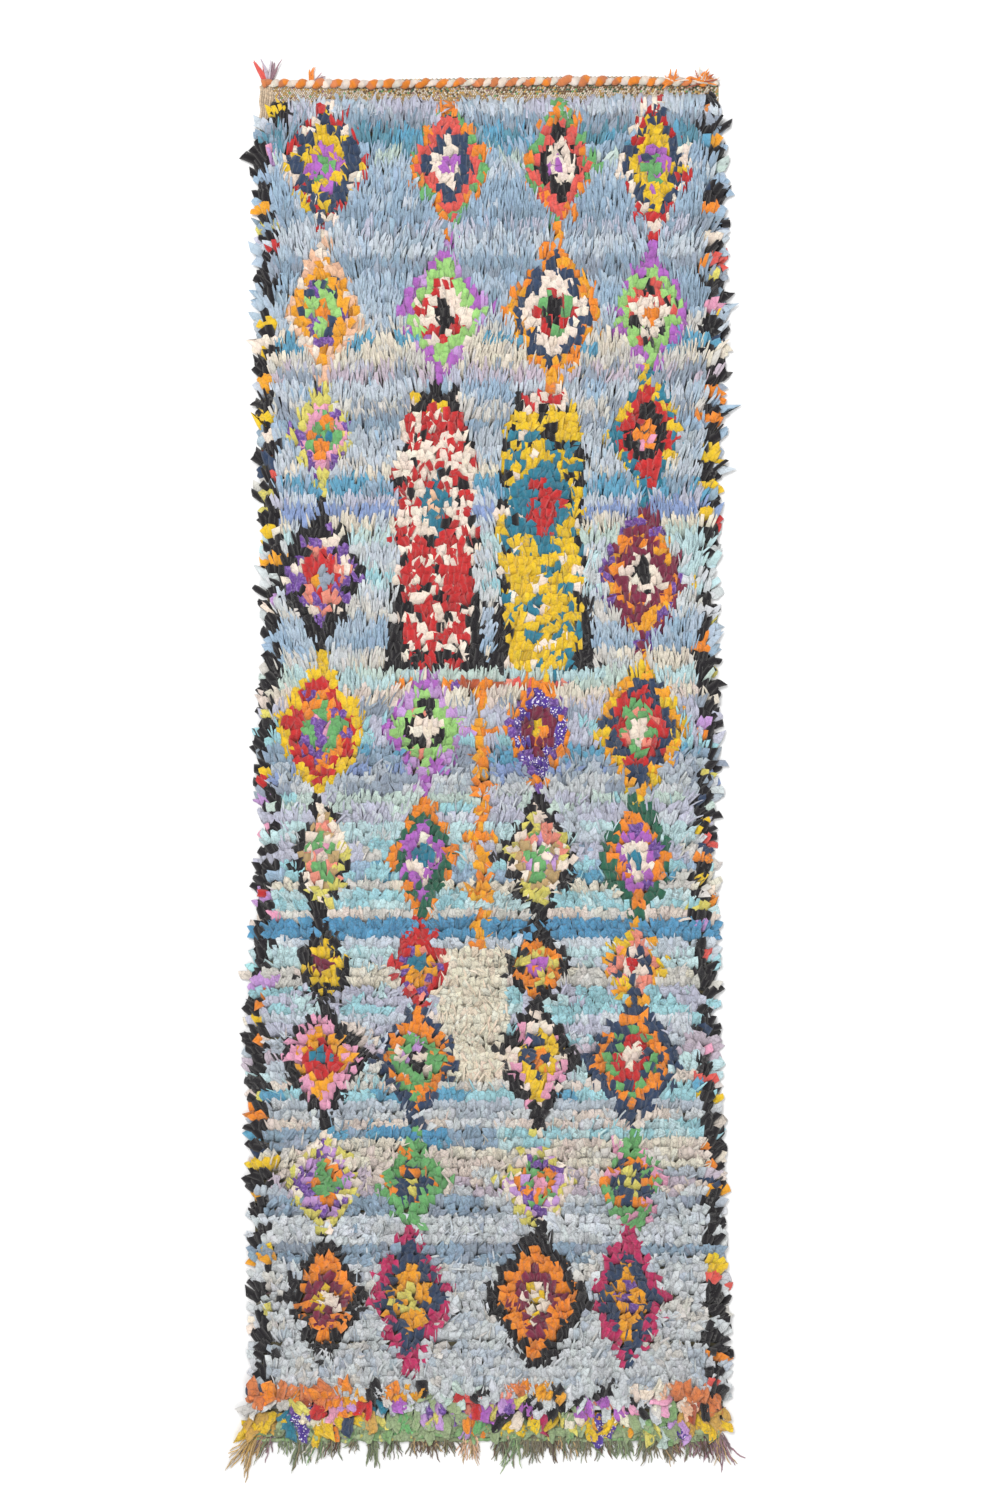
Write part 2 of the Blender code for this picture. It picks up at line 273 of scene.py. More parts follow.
# From the heading to the foot
STRIPES: tuple[Stripe, ...] = (
    Stripe(0.007, "lavender|ice|pale_blue"),
    Stripe(0.023, "slate|steel|slate"),
    Stripe(0.040, "teal_blue|turquoise|teal_blue|steel", "steel|teal_blue|turquoise|sky"),
    Stripe(0.027, "sky|mint|steel|sky"),
    Stripe(0.033, "pale_blue|ice|sky"),
    Stripe(0.038, "sky|sky|pale_blue"),
    Stripe(0.029, "pale_blue|sky|ice"),
    Stripe(0.033, "sky|steel|sky"),
    Stripe(0.021, "slate|lavender|ice"),
    Stripe(0.046, "ice|pale_blue|ice"),
    Stripe(0.038, "slate|steel|slate"),
    Stripe(0.033, "sky|pale_blue|sky"),
    Stripe(0.033, "sky|pale_blue|steel"),
    Stripe(0.029, "lavender|ice|pale_blue|sky"),
    Stripe(0.029, "ice|pale_blue|oat|turquoise"),
    Stripe(0.033, "oat|cream|turquoise|cream"),
    Stripe(0.038, "cream|oat"),
    Stripe(0.033, "lilac_grey|slate|lilac_grey|lavender"),
    Stripe(0.038, "sky|ice|pale_blue"),
    Stripe(0.033, "grey_blue|oat|slate|oat"),
    Stripe(0.029, "slate|steel|sky"),
    Stripe(0.033, "sky|grey_blue|pale_blue"),
    Stripe(0.033, "pale_blue|ice|pale_blue"),
    Stripe(0.038, "oat|ice|cream"),
    Stripe(0.029, "turquoise|steel|turquoise|sky"),
    Stripe(0.017, "lavender|ice"),
    Stripe(0.033, "periwinkle"),
    Stripe(0.025, "oat|cream|ice"),
    Stripe(0.029, "mint|pale_aqua"),
    Stripe(0.038, "ice|silver|pale_aqua"),
    Stripe(0.058, "pale_aqua|silver|aqua"),
    Stripe(0.058, "ice|silver|oat|pale_blue"),
    Stripe(0.042, "sky|pale_blue"),
    Stripe(0.033, "sky|sky|pale_blue"),
    Stripe(0.033, "cream|oat|silver"),
    Stripe(0.033, "mint|pale_aqua"),
    Stripe(0.038, "cream|peach_oat"),
    Stripe(0.025, "slate|lavender"),
    Stripe(0.071, "pale_blue|aqua|lavender|ice"),
    Stripe(0.029, "slate|steel|turquoise|slate"),
    Stripe(0.038, "slate|grey_blue|periwinkle|slate"),
    Stripe(0.029, "slate|silver|grey_blue"),
    Stripe(0.033, "aqua|mint|lavender"),
    Stripe(0.038, "ice|lavender|white_blue"),
    Stripe(0.038, "ice|pale_aqua|silver"),
    Stripe(0.043, "sky|lavender|oat|aqua"),
    Stripe(0.029, "turquoise|aqua|sky"),
    Stripe(0.033, "oat|cream"),
    Stripe(0.038, "aqua|pale_aqua|aqua"),
    Stripe(0.019, "oat|peach_oat"),
    Stripe(0.041, "strong_blue"),
    Stripe(0.022, "white_blue|ice|aqua"),
    Stripe(0.042, "aqua|pale_aqua|ice"),
    Stripe(0.038, "peach_oat|oat|cream"),
    Stripe(0.050, "aqua|aqua|lavender|pale_aqua"),
    Stripe(0.058, "lavender|ice|peach_oat", "lavender|white_blue|aqua"),
    Stripe(0.038, "ice|lilac_grey|grey_blue"),
    Stripe(0.042, "ice|pale_aqua|oat"),
    Stripe(0.017, "peach_oat|oat"),
    Stripe(0.027, "aqua|aqua|turquoise"),
    Stripe(0.033, "silver|grey_blue"),
    Stripe(0.021, "peach_oat|silver"),
    Stripe(0.038, "strong_blue|turquoise|steel|slate", "aqua|pale_aqua|aqua"),
    Stripe(0.058, "peach_oat|cream|oat"),
    Stripe(0.050, "silver|peach_oat|lilac_grey|grey_blue"),
    Stripe(0.038, "steel|slate", "silver|grey_blue|slate"),
    Stripe(0.063, "silver|white_blue|silver"),
    Stripe(0.033, "slate|steel|slate"),
    Stripe(0.265, "silver|silver|grey_blue|silver|silver|oat|silver"),
    Stripe(0.075, "mint|silver|silver|silver|mint"),
)


@dataclass(frozen=True)
class LozengeRow:
    """A row of up to four lozenges; rings run from the outside in, and | parts rags that are mixed."""

    y: float
    heights: tuple[float, ...]
    widths: tuple[float, ...]
    rings: tuple[str, ...]


LOZENGES: tuple[LozengeRow, ...] = (
    LozengeRow(1.262, (0.142, 0.138, 0.138, 0.148), (0.092, 0.086, 0.078, 0.080),
               ("red|bone|yellow, navy, yellow, orchid, leaf", "leaf|orange, coral, navy, bone, orchid",
                "orange|leaf, coral, black, bone, orchid", "bone|red, navy, yellow, orchid, leaf")),
    LozengeRow(0.958, (0.136, 0.134, 0.148, 0.128), (0.084, 0.096, 0.108, 0.086),
               ("peach|bone, marigold, navy|purple, lime, orange", "orchid|lilac, lime, red|bone, bone, black",
                "marigold|orange, navy, bone, red|leaf, black", "orchid, lime, black|coral, bone, orange")),
    LozengeRow(0.698, (0.105, 0.0, 0.0, 0.136), (0.068, 0.0, 0.0, 0.082),
               ("purple|lemon, pink, leaf|orange, teal", "", "", "yellow|teal, red, black, pink|orange")),
    LozengeRow(0.402, (0.146, 0.0, 0.0, 0.150), (0.098, 0.0, 0.0, 0.098),
               ("black, black|purple|bone, purple|bone|salmon, red, slate|marigold", "", "",
                "purple|plum, orange|marigold, plum, bone, black")),
    LozengeRow(0.082, (0.142, 0.119, 0.126, 0.148), (0.100, 0.090, 0.072, 0.096),
               ("yellow, red, orange|purple, leaf, pink|purple", "orchid|lilac, lime, salmon|black, bone",
                "orange|purple, violet_print, plum, yellow|orange", "marigold|yellow, navy, red, leaf|salmon, bone")),
    LozengeRow(-0.184, (0.132, 0.126, 0.128, 0.124), (0.064, 0.074, 0.082, 0.078),
               ("black, lemon|bone, salmon|tan, leaf, pink|bone", "orange, bottle, orchid, bone, teal",
                "black, lemon|bone, salmon|tan, leaf|lilac, bone", "bottle, orange, orchid|purple, bone, teal")),
    LozengeRow(-0.412, (0.084, 0.090, 0.088, 0.086), (0.062, 0.062, 0.070, 0.066),
               ("black, yellow, plum", "red, purple|salmon, marigold, teal",
                "black, orange, lemon, orchid", "yellow|marigold, salmon, navy, bone, red")),
    LozengeRow(-0.608, (0.122, 0.120, 0.124, 0.128), (0.092, 0.086, 0.084, 0.102),
               ("black, pink, marigold, red, teal", "navy, orange, leaf, lilac|bone, black",
                "black, pink|bone, yellow, navy, orange", "navy, orange, leaf|navy, red, bone")),
    LozengeRow(-0.867, (0.105, 0.092, 0.095, 0.107), (0.078, 0.072, 0.078, 0.070),
               ("lemon|bone, purple|lilac, orange|leaf, leaf", "leaf, orange|leaf, navy, lemon",
                "lemon|bone, purple|lilac, orange|leaf, pink", "pink|leaf, orange|leaf, navy, lemon")),
    LozengeRow(-1.105, (0.128, 0.150, 0.153, 0.144), (0.083, 0.086, 0.110, 0.079),
               ("black, orange, plum, bone|yellow", "crimson, navy, marigold, orchid|lemon",
                "black, orange, plum, yellow|bone", "crimson, navy, marigold, purple")),
)


@dataclass(frozen=True)
class ColumnLine:
    """Where the four columns of lozenges stand at one place along the rug."""

    y: float
    columns: tuple[float, float, float, float]


COLUMN_LINES = (
    ColumnLine(-1.105, (-0.339, -0.163, 0.104, 0.295)),
    ColumnLine(0.300, (-0.348, -0.122, 0.110, 0.324)),
    ColumnLine(1.262, (-0.340, -0.080, 0.152, 0.349)),
)


@dataclass(frozen=True)
class TallPanel:
    """A tall flecked panel with a small lozenge at its middle and black corners at its foot."""

    x: float
    head: float
    foot: float
    half_width: float
    upper: str
    lower: str
    cap: str
    neck: str
    edge: str
    lozenge: str
    lozenge_size: tuple[float, float]


PANELS = (
    TallPanel(-0.108, 0.800, 0.200, 0.084, "bone|red|bone|bone|black|bone|red", "red|bone|red|red|bone|red|black",
              "black|black|yellow", "red|red|bone", "bone|bone|black|red", "teal, teal|peach", (0.030, 0.075)),
    TallPanel(0.116, 0.800, 0.200, 0.088, "yellow|teal|yellow|yellow|bone|teal|yellow|black",
              "yellow|yellow|teal|yellow|yellow|bone|yellow|teal", "red|bone|red", "yellow|yellow|black",
              "yellow|bone|black|yellow|black", "teal, red|teal|red, red|bone", (0.062, 0.110)),
)


@dataclass
class RugChart:
    """Which rag a knot takes, by its place on the rug."""

    outline: Outline
    seed: int = 7
    border_depth: float = 0.036
    border_flecks: str = "yellow|coral|orange|marigold|bone|pink|navy|lilac|lemon|red|orange|yellow"
    tail_half: float = 0.0115
    sag: float = 0.10
    stem_x: float = -0.014
    stem_half: float = 0.0110
    stem_ends: tuple[float, float] = (-0.372, 0.190)
    arm_half: float = 0.034
    arm_pitch: float = 0.112
    block: tuple[float, float, float, float] = (-0.106, 0.042, -0.652, -0.374)

    def __post_init__(self) -> None:
        """Draw the chart's own noise."""
        self.rng = np.random.default_rng(self.seed)
        self.waver = Drift(self.seed + 1, 0.11)
        self.patch = Drift(self.seed + 2, 0.055)
        self.fine = Drift(self.seed + 3, 0.028)

    def pick(self, names: str, chance: Array) -> Array:
        """Pick among rags parted by |.

        Args:
            names: The rags' names.
            chance: A value from 0 to 1 for each knot.

        Returns:
            The rags' numbers.
        """
        numbers = rag_numbers(names)
        return numbers[np.clip((chance * len(numbers)).astype(int), 0, len(numbers) - 1)]

    def patched(self, names: str, x: Array, y: Array, stray: float = 0.3) -> Array:
        """Pick among rags by small patches, as one torn strip serves several knots.

        Args:
            names: The rags' names.
            x: Places across the rug.
            y: Places along the rug.
            stray: The share of knots that don't follow their patch.

        Returns:
            The rags' numbers.
        """
        chance = (2.3 * self.fine.at(x + 0.37 * len(names), y)) % 1.0
        alone = self.rng.random(len(x)) < stray
        chance[alone] = self.rng.random(int(alone.sum()))
        return self.pick(names, chance)

    def ground(self, x: Array, y: Array) -> Array:
        """Rags of the striped ground.

        Args:
            x: Places across the rug.
            y: The mean place of each knot's row, as a stripe takes whole rows.

        Returns:
            The rags' numbers.
        """
        tips = 0.008 + 0.012 * np.clip((y + 0.25) / 0.5, 0.0, 1.0)
        down = self.outline.head - y - tips + 0.007 * self.waver.at(x * 0.4, y * 0.0)
        bottoms = np.cumsum([stripe.depth for stripe in STRIPES])
        which = np.clip(np.searchsorted(bottoms, down), 0, len(STRIPES) - 1)
        patchy = 0.5 + 0.5 * self.patch.at(x, y * 2.5)
        chance = np.clip(0.85 * patchy + 0.15 * self.rng.random(len(x)), 0.0, 0.999)
        rags = np.zeros(len(x), int)
        for number, stripe in enumerate(STRIPES):
            here = which == number
            rags[here] = self.pick(stripe.rags, chance[here])
            if stripe.right:
                there = here & (x > 0.02 + 0.05 * self.waver.at(x, y))
                rags[there] = self.pick(stripe.right, chance[there])
        return rags

    def middle(self, column: int, y: Array) -> Array:
        """Where a column of lozenges stands at each place along the rug."""
        return np.interp(y, [line.y for line in COLUMN_LINES], [line.columns[column] for line in COLUMN_LINES])

    def lozenges(self, x: Array, y: Array, rags: Array, raised: Array) -> None:
        """Lay the four columns of ringed lozenges over the ground.

        Args:
            x: Places across the rug.
            y: Places along the rug.
            rags: The rags' numbers, changed where the motif lies.
            raised: Whether a motif has each knot, changed with them.
        """
        for row in LOZENGES:
            for column in range(4):
                if not row.rings[column]:
                    continue
                across = np.abs(x - self.middle(column, row.y)) / row.widths[column]
                up = (y - row.y) / (row.heights[column] * np.where(y < row.y, 1.0 + self.sag * (row.y < 0.0), 1.0))
                span = (across ** 1.15 + np.abs(up) ** 1.15) ** (1 / 1.15)
                span += 0.05 * self.fine.at(x, y) + self.rng.normal(0.0, 0.045, len(x))
                rings = row.rings[column].split(",")
                ring = np.clip(((1.0 - span) * len(rings)).astype(int), 0, len(rings) - 1)
                for number, names in enumerate(rings):
                    here = (span < 1.0) & (ring == number)
                    rags[here] = self.patched(names, x[here], y[here], 0.5)
                    raised[here] = True

    def tails(self, x: Array, y: Array, rags: Array, raised: Array) -> None:
        """Tie each lozenge to the next in its column by a short tail of both outer rings' rags.

        Args:
            x: Places across the rug.
            y: Places along the rug.
            rags: The rags' numbers, changed where the motif lies.
            raised: Whether a motif has each knot, changed with them.
        """
        for column in range(4):
            stops = [(row.y, row.heights[column], row.rings[column].split(",")[0]) for row in LOZENGES
                     if row.rings[column]]
            if column in (1, 2):
                panel = PANELS[column - 1]
                stops.append(((panel.head + panel.foot) / 2, (panel.head - panel.foot) / 2, panel.cap))
            stops.sort(reverse=True)
            away = np.abs(x - self.middle(column, y) + 0.004 * self.waver.at(x * 0, y))
            for above, below in zip(stops, stops[1:]):
                high, low = above[0] - 0.92 * above[1], below[0] + 0.92 * below[1]
                for names, start, stop in ((above[2], high, (high + low) / 2), (below[2], (high + low) / 2, low)):
                    here = (away < self.tail_half) & (y <= start) & (y > stop)
                    rags[here] = self.patched(names, x[here] * 0, y[here])
                    raised[here] = True

    def panels(self, x: Array, y: Array, rags: Array, raised: Array) -> None:
        """Lay the two tall flecked panels between the outer lozenges.

        Args:
            x: Places across the rug.
            y: Places along the rug.
            rags: The rags' numbers, changed where the motif lies.
            raised: Whether a motif has each knot, changed with them.
        """
        for panel in PANELS:
            down = (panel.head - y) / (panel.head - panel.foot)
            taper = np.clip(0.52 + 2.2 * down, 0.3, 1.0)
            side = np.abs(x - panel.x) / (panel.half_width * taper) + 0.09 * self.fine.at(x, y)
            within = (down > 0.0) & (down < 1.0)
            lower = down + 0.10 * self.waver.at(x, y) > 0.50
            span = np.abs(x - panel.x) / panel.lozenge_size[0] + np.abs(y - panel.head + 0.25) / panel.lozenge_size[1]
            rings = panel.lozenge.split(",")
            corners = (down > 0.70) & (down < 1.0) & (side >= 1.27 - 0.5 * down) & (side < 0.32 + down)
            layers = [(within & (side >= 0.84) & (side < 1.02), panel.edge), (within & (side < 0.84), panel.upper),
                      (within & (side < 0.88) & lower, panel.lower),
                      (within & (side < 0.9) & (down < 0.16), panel.neck),
                      (within & (side < 0.9) & (down < 0.075), panel.cap), (corners, "black")]
            layers += [(span < 1.0 - ring / len(rings), names) for ring, names in enumerate(rings)]
            for here, names in layers:
                rags[here] = self.patched(names, x[here], y[here], 0.88)
                raised[here] = True

    def stem_and_block(self, x: Array, y: Array, rags: Array, raised: Array) -> None:
        """Lay an even orange stem with short arms over a plain cream block.

        Args:
            x: Places across the rug.
            y: Places along the rug.
            rags: The rags' numbers, changed where the motif lies.
            raised: Whether a motif has each knot, changed with them.
        """
        foot, head = self.stem_ends
        stray = 0.003 * self.fine.at(x, y)
        on_stem = (np.abs(x - self.stem_x) + stray < self.stem_half) & (y > foot) & (y < head)
        from_arm = np.abs((y - foot + self.arm_pitch / 2) % self.arm_pitch - self.arm_pitch / 2)
        on_arm = (from_arm < 0.010) & (np.abs(x - self.stem_x) < self.arm_half) & (y > foot + 0.03) & (y < head)
        orange = on_stem | on_arm
        rags[orange] = self.pick("orange|marigold", self.rng.random(int(orange.sum())))
        bar = (np.abs(y - head + 0.014) < 0.009) & (np.abs(x - self.stem_x) < 0.18)
        rags[bar] = self.patched("coral|rust|orange|salmon|orange|purple", x[bar], y[bar])
        left, right, low, high = self.block
        block = (x > left) & (x < right) & (y > low) & (y < high)
        rags[block] = RAG_NUMBER["blanket"]
        raised[orange | bar] = True

    def borders(self, x: Array, y: Array, row: Array, rags: Array, raised: Array) -> None:
        """Lay the flecked black borders just inside both edges.

        Args:
            x: Places across the rug.
            y: Places along the rug.
            row: Each knot's row.
            rags: The rags' numbers, changed where the motif lies.
            raised: Whether a motif has each knot, changed with them.
        """
        left, right = self.outline.walls(y)
        rows = int(row.max()) + 1
        for side, depth in ((0, x - left), (1, right - x)):
            rng = np.random.default_rng(self.seed + 10 + side)
            kind = rng.choice(3, rows, p=[0.12, 0.62, 0.26])
            fleck = self.pick(self.border_flecks, rng.random(rows))
            width = self.border_depth * rng.uniform(0.55, 1.15, rows)
            if side == 0:
                kind[-4:], fleck[-4:], width[-4:] = (1, 2, 1, 1), RAG_NUMBER["yellow"], 0.056
            here = depth < width[row] + 0.004 * self.fine.at(x, y)
            own = kind[row]
            odd = self.rng.random(len(x)) < 0.22
            own[odd] = self.rng.integers(0, 3, int(odd.sum()))
            here &= (own > 0) & ~((depth < 0.006) & (self.rng.random(len(x)) < 0.4))
            rags[here] = np.where(own[here] == 1, RAG_NUMBER["black"], fleck[row[here]])
            raised[here] = True

    def rags_at(self, x: Array, y: Array, row: Array) -> tuple[Array, Array]:
        """Chart every knot.

        Args:
            x: Where each knot shows, across the rug.
            y: Where each knot shows, along the rug.
            row: The knot's row.

        Returns:
            Each knot's rag number, and whether it belongs to a motif.
        """
        knots = np.maximum(np.bincount(row), 1)
        rags = self.ground(x, (np.bincount(row, y) / knots)[row])
        raised = np.zeros(len(x), bool)
        self.borders(x, y, row, rags, raised)
        self.stem_and_block(x, y, rags, raised)
        self.tails(x, y, rags, raised)
        self.lozenges(x, y, rags, raised)
        self.panels(x, y, rags, raised)
        return rags, raised


@dataclass
class RagEnds:
    """Cut rag ends as arrays, one entry for each end."""

    root: Array
    facing: Array
    length: Array
    width: Array
    rise: Array
    fall: Array
    turn: Array
    twist: Array
    curl: Array
    tip: Array
    skew: Array
    ridge: Array
    crumple: Array
    rag: Array

    STATIONS = 5
    ACROSS = (-0.5, 0.5, 0.0)

    def take(self, chosen: Array) -> "RagEnds":
        """The chosen ends only."""
        return type(self)(**{name: getattr(self, name)[chosen] for name in self.__dataclass_fields__})

    @staticmethod
    def joined(several: list["RagEnds"]) -> "RagEnds":
        """Several sets as one."""
        names = several[0].__dataclass_fields__
        return type(several[0])(**{name: np.concatenate([getattr(s, name) for s in several]) for name in names})

    def sections(self) -> tuple[Array, Array]:
        """Bend every end along its path.

        Returns:
            Points as (ends, stations, sides, 3), and each station's distance along as (stations,).
        """
        share = np.linspace(0.0, 1.0, self.STATIONS)
        angle = self.rise[:, None] + (self.fall - self.rise)[:, None] * share ** 0.75
        facing = self.facing[:, None] + self.turn[:, None] * share
        along = np.stack([np.cos(angle) * np.sin(facing), np.cos(angle) * np.cos(facing), np.sin(angle)], -1)
        step = (self.length / (self.STATIONS - 1))[:, None, None]
        path = np.concatenate([np.zeros_like(along[:, :1]), np.cumsum((along[:, 1:] + along[:, :-1]) / 2 * step, 1)], 1)
        path += self.root[:, None, :]
        side = np.stack([np.cos(facing), -np.sin(facing), np.zeros_like(facing)], -1)
        above = np.cross(side, along)
        roll = (self.twist[:, None] + self.curl[:, None] * share)[..., None]
        across = side * np.cos(roll) + above * np.sin(roll)
        proud = above * np.cos(roll) - side * np.sin(roll)
        profile = np.interp(share, (0.0, 0.25, 0.8), (0.70, 1.0, 1.0))[None, :] * np.ones((len(self.rag), 1))
        profile[:, -1] = self.tip
        half = (0.5 * self.width[:, None] * profile)[..., None]
        crown = (self.ridge[:, None] * self.width[:, None] * (0.35 + 0.65 * profile))[..., None]
        points = np.stack([path - across * half, path + across * half, path + proud * crown], 2)
        cut = along[:, -1] * (self.skew * self.width)[:, None]
        points[:, -1, 0] += cut
        points[:, -1, 1] -= cut
        points[..., 2] = np.maximum(points[..., 2], 0.0012 + 0.0006 * np.arange(3))
        return points, share

    def shown(self) -> tuple[Array, Array]:
        """Where each end shows from above: the middle of its outer part."""
        points, _ = self.sections()
        outer = points[:, -3:-1].mean((1, 2))
        return outer[:, 0], outer[:, 1]

    def build(self, name: str, material: bpy.types.Material, seed: int) -> bpy.types.Object:
        """Make one joined mesh of all the ends.

        Args:
            name: The piece's name.
            material: Its cloth.
            seed: For the rags' own differences of shade.

        Returns:
            The new object.
        """
        rng = np.random.default_rng(seed)
        points, share = self.sections()
        count, stations, sides = points.shape[:3]
        ring = np.arange(stations * sides).reshape(stations, sides)
        walls = np.stack([ring[:-1], ring[1:], np.roll(ring[1:], -1, 1), np.roll(ring[:-1], -1, 1)], -1).reshape(-1, 4)
        fan = np.stack([np.zeros(sides - 2, int), np.arange(1, sides - 1), np.arange(2, sides)], -1)
        caps = np.concatenate([fan, ring[-1][fan[:, ::-1]]])
        start = (np.arange(count) * stations * sides)[:, None, None]
        quads = (walls[None] + start).reshape(-1, 4)
        triangles = (caps[None] + start).reshape(-1, 3)
        mesh = mesh_from_arrays(name, points.reshape(-1, 3), quads, triangles)

        patch = Drift(seed, 0.045).at(self.root[:, 0], self.root[:, 1] * 1.8)[:, None]
        uneven = (0.028 + 0.034 * self.crumple[:, None]) * rng.normal(0.0, 1.0, (count, 1))
        shade = (1.0 + uneven + 0.06 * patch) * (1.0 + rng.normal(0.0, 0.012, (count, 3)))
        # Painted light: crumpled rags are made paler, to offset the shade that falls among their steeper folds.
        shade *= 0.96 + 0.24 * self.crumple[:, None]
        colour = np.clip(RAG_COLOURS[self.rag] * shade, 0.003, 0.95)
        second = np.clip(RAG_SECONDS[self.rag] * shade, 0.003, 0.95)
        per_end = stations * sides
        add_colours(mesh, "rag", np.repeat(colour, per_end, 0))
        add_colours(mesh, "rag_second", np.repeat(second, per_end, 0))
        edge = np.broadcast_to(2.0 * np.abs(self.ACROSS), (count, stations, sides))
        along = np.broadcast_to(share[None, :, None], (count, stations, sides))
        kind = np.broadcast_to((RAG_KINDS[self.rag] / KIND_SCALE)[:, None, None], (count, stations, sides))
        crumple = np.broadcast_to(self.crumple[:, None, None], (count, stations, sides))
        add_colours(mesh, "rag_form", np.stack([edge, along, kind, crumple], -1).reshape(-1, 4))

        offset = rng.uniform(0.0, 3.0, (count, 1, 1, 2))
        place = np.zeros((count, stations, sides, 2))
        place[..., 0] = np.array(self.ACROSS) * self.width[:, None, None]
        place[..., 1] = share[None, :, None] * self.length[:, None, None]
        add_map(mesh, "RagPlace", (place + offset).reshape(-1, 2), by_corner=False)
        add_map(mesh, "OFBake", self.bake_cells(count, stations, sides), by_corner=True)
        mesh.materials.append(material)
        mesh.shade_smooth()
        mesh.set_sharp_from_angle(angle=math.radians(24))
        return new_object(name, mesh)

    @staticmethod
    def bake_cells(count: int, stations: int, sides: int) -> Array:
        """Give every end its own cell of the bake's map, its walls side by side.

        Args:
            count: How many ends the piece has.
            stations: Sections along an end.
            sides: Corners of a section.

        Returns:
            A map place for each face corner, in the mesh's face order.
        """
        inset = 0.07
        column = np.arange(sides)
        level = np.arange(stations - 1) / (stations - 1)
        low_u = inset + (1 - 2 * inset) * column / sides
        high_u = inset + (1 - 2 * inset) * (column + 0.98) / sides
        low_v = inset + (0.90 - inset) * level
        high_v = low_v + (0.90 - inset) / (stations - 1)
        u = np.stack([low_u, low_u, high_u, high_u], -1)[None].repeat(stations - 1, 0)
        v = np.stack([low_v, high_v, high_v, low_v], -1)[:, None].repeat(sides, 1)
        walls = np.stack([u, v], -1).reshape(-1, 2)
        fan = 2 * (sides - 2)
        corner = np.array([[0.0, 0.92], [0.7 / fan, 0.92], [0.35 / fan, 0.99]])
        shift = np.stack([0.08 + 0.86 * np.arange(fan) / fan, np.zeros(fan)], -1)[:, None]
        caps = (corner[None] + shift).reshape(-1, 2)
        per_row = int(math.ceil(math.sqrt(count)))
        at = np.stack([np.arange(count) % per_row, np.arange(count) // per_row], -1)[:, None, :]
        quads = (walls[None] + at) / per_row
        triangles = (caps[None] + at) / per_row
        return np.concatenate([quads.reshape(-1, 2), triangles.reshape(-1, 2)])


class Slivers(RagEnds):
    """Narrow frayed strips, with fewer sections than a rag."""

    STATIONS = 4


class Yarns(RagEnds):
    """Thin crimped yarns."""

    STATIONS = 8

    def sections(self) -> tuple[Array, Array]:
        """Bend every yarn along its path, then crimp it from side to side."""
        points, share = super().sections()
        phase = (self.root[:, 0] * 9000.0 + self.crumple * 50.0)[:, None]
        wave = 0.0013 * np.sin(phase + 15.0 * share * (1.0 + 0.3 * np.sin(phase))) * np.clip(share * 4.0, 0.0, 1.0)
        points[..., 0] += (wave * np.cos(self.facing)[:, None])[..., None]
        points[..., 1] -= (wave * np.sin(self.facing)[:, None])[..., None]
        return points, share


class CrumpledRags(RagEnds):
    """Big rags, each a thin closed cloth with folds across and along it."""

    STATIONS = 8
    ACROSS = (-0.5, -0.3, -0.1, 0.1, 0.3, 0.5, 0.3, 0.1, -0.1, -0.3)
    THICK = 0.0009

    def sections(self) -> tuple[Array, Array]:
        """Bend every rag along its path, then fold it.

        Returns:
            Points as (rags, stations, sides, 3), and each station's distance along as (stations,).
        """
        edges, share = super().sections()
        left, right, top = edges[:, :, None, 0], edges[:, :, None, 1], edges[:, :, None, 2]
        place = np.array(self.ACROSS)[None, None, :]
        seed = (self.root[:, 0] * 7919.0 + self.root[:, 1] * 5333.0)[:, None, None]
        along = share[None, :, None]
        fold = np.abs(np.sin(seed + 5.5 * along + 7.0 * place * np.cos(seed)))
        fold += 0.6 * np.sin(1.7 * seed + 9.0 * place + 6.0 * along * np.sin(3.0 * seed))
        fold += 0.5 * np.abs(np.sin(2.3 * seed + 11.0 * along - 8.0 * place)) - 0.7
        middle = (left + right) / 2
        proud = top - middle
        proud /= np.maximum(np.linalg.norm(proud, axis=-1, keepdims=True), 1e-6)
        gather = 1.0 - 0.25 * np.abs(np.sin(0.7 * seed + 4.0 * along))
        points = middle + (right - left) * (place * gather)[..., None]
        lift = 0.13 * self.width[:, None, None] * fold * np.clip(0.25 + 2.0 * along, 0.0, 1.0)
        under = np.array([0, 1, 1, 1, 1, 0, 0, 0, 0, 0])[None, None, :] * self.THICK
        crown = (1.0 - 4.0 * place ** 2) * self.ridge[:, None, None] * 0.01
        points = points + proud * (lift - under + crown)[..., None]
        wave = 0.10 * self.width[:, None, None] * np.sin(1.3 * seed + 12.0 * place)
        points[..., 1] += np.where(along > 0.99, wave, 0.0) * np.sign(np.cos(self.facing) + 1e-9)[:, None, None]
        low = 0.0008 + 0.0010 * (np.arange(10) > 4)[None, None, :]
        points[..., 2] = np.maximum(points[..., 2], low)
        return points, share


def mesh_from_arrays(name: str, points: Array, quads: Array, triangles: Array) -> bpy.types.Mesh:
    """Make a mesh from arrays, four-cornered faces first.

    Args:
        name: The mesh's name.
        points: Corners, one row each.
        quads: Four corner numbers a row.
        triangles: Three corner numbers a row.

    Returns:
        The new mesh.
    """
    mesh = bpy.data.meshes.new(name)
    mesh.vertices.add(len(points))
    mesh.vertices.foreach_set("co", np.ascontiguousarray(points, np.float32).ravel())
    corners = np.concatenate([quads.ravel(), triangles.ravel()]).astype(np.int32)
    totals = np.concatenate([np.full(len(quads), 4), np.full(len(triangles), 3)]).astype(np.int32)
    starts = np.concatenate([[0], np.cumsum(totals)[:-1]]).astype(np.int32)
    mesh.loops.add(len(corners))
    mesh.loops.foreach_set("vertex_index", corners)
    mesh.polygons.add(len(totals))
    mesh.polygons.foreach_set("loop_start", starts)
    mesh.update(calc_edges=True)
    mesh.validate()
    return mesh


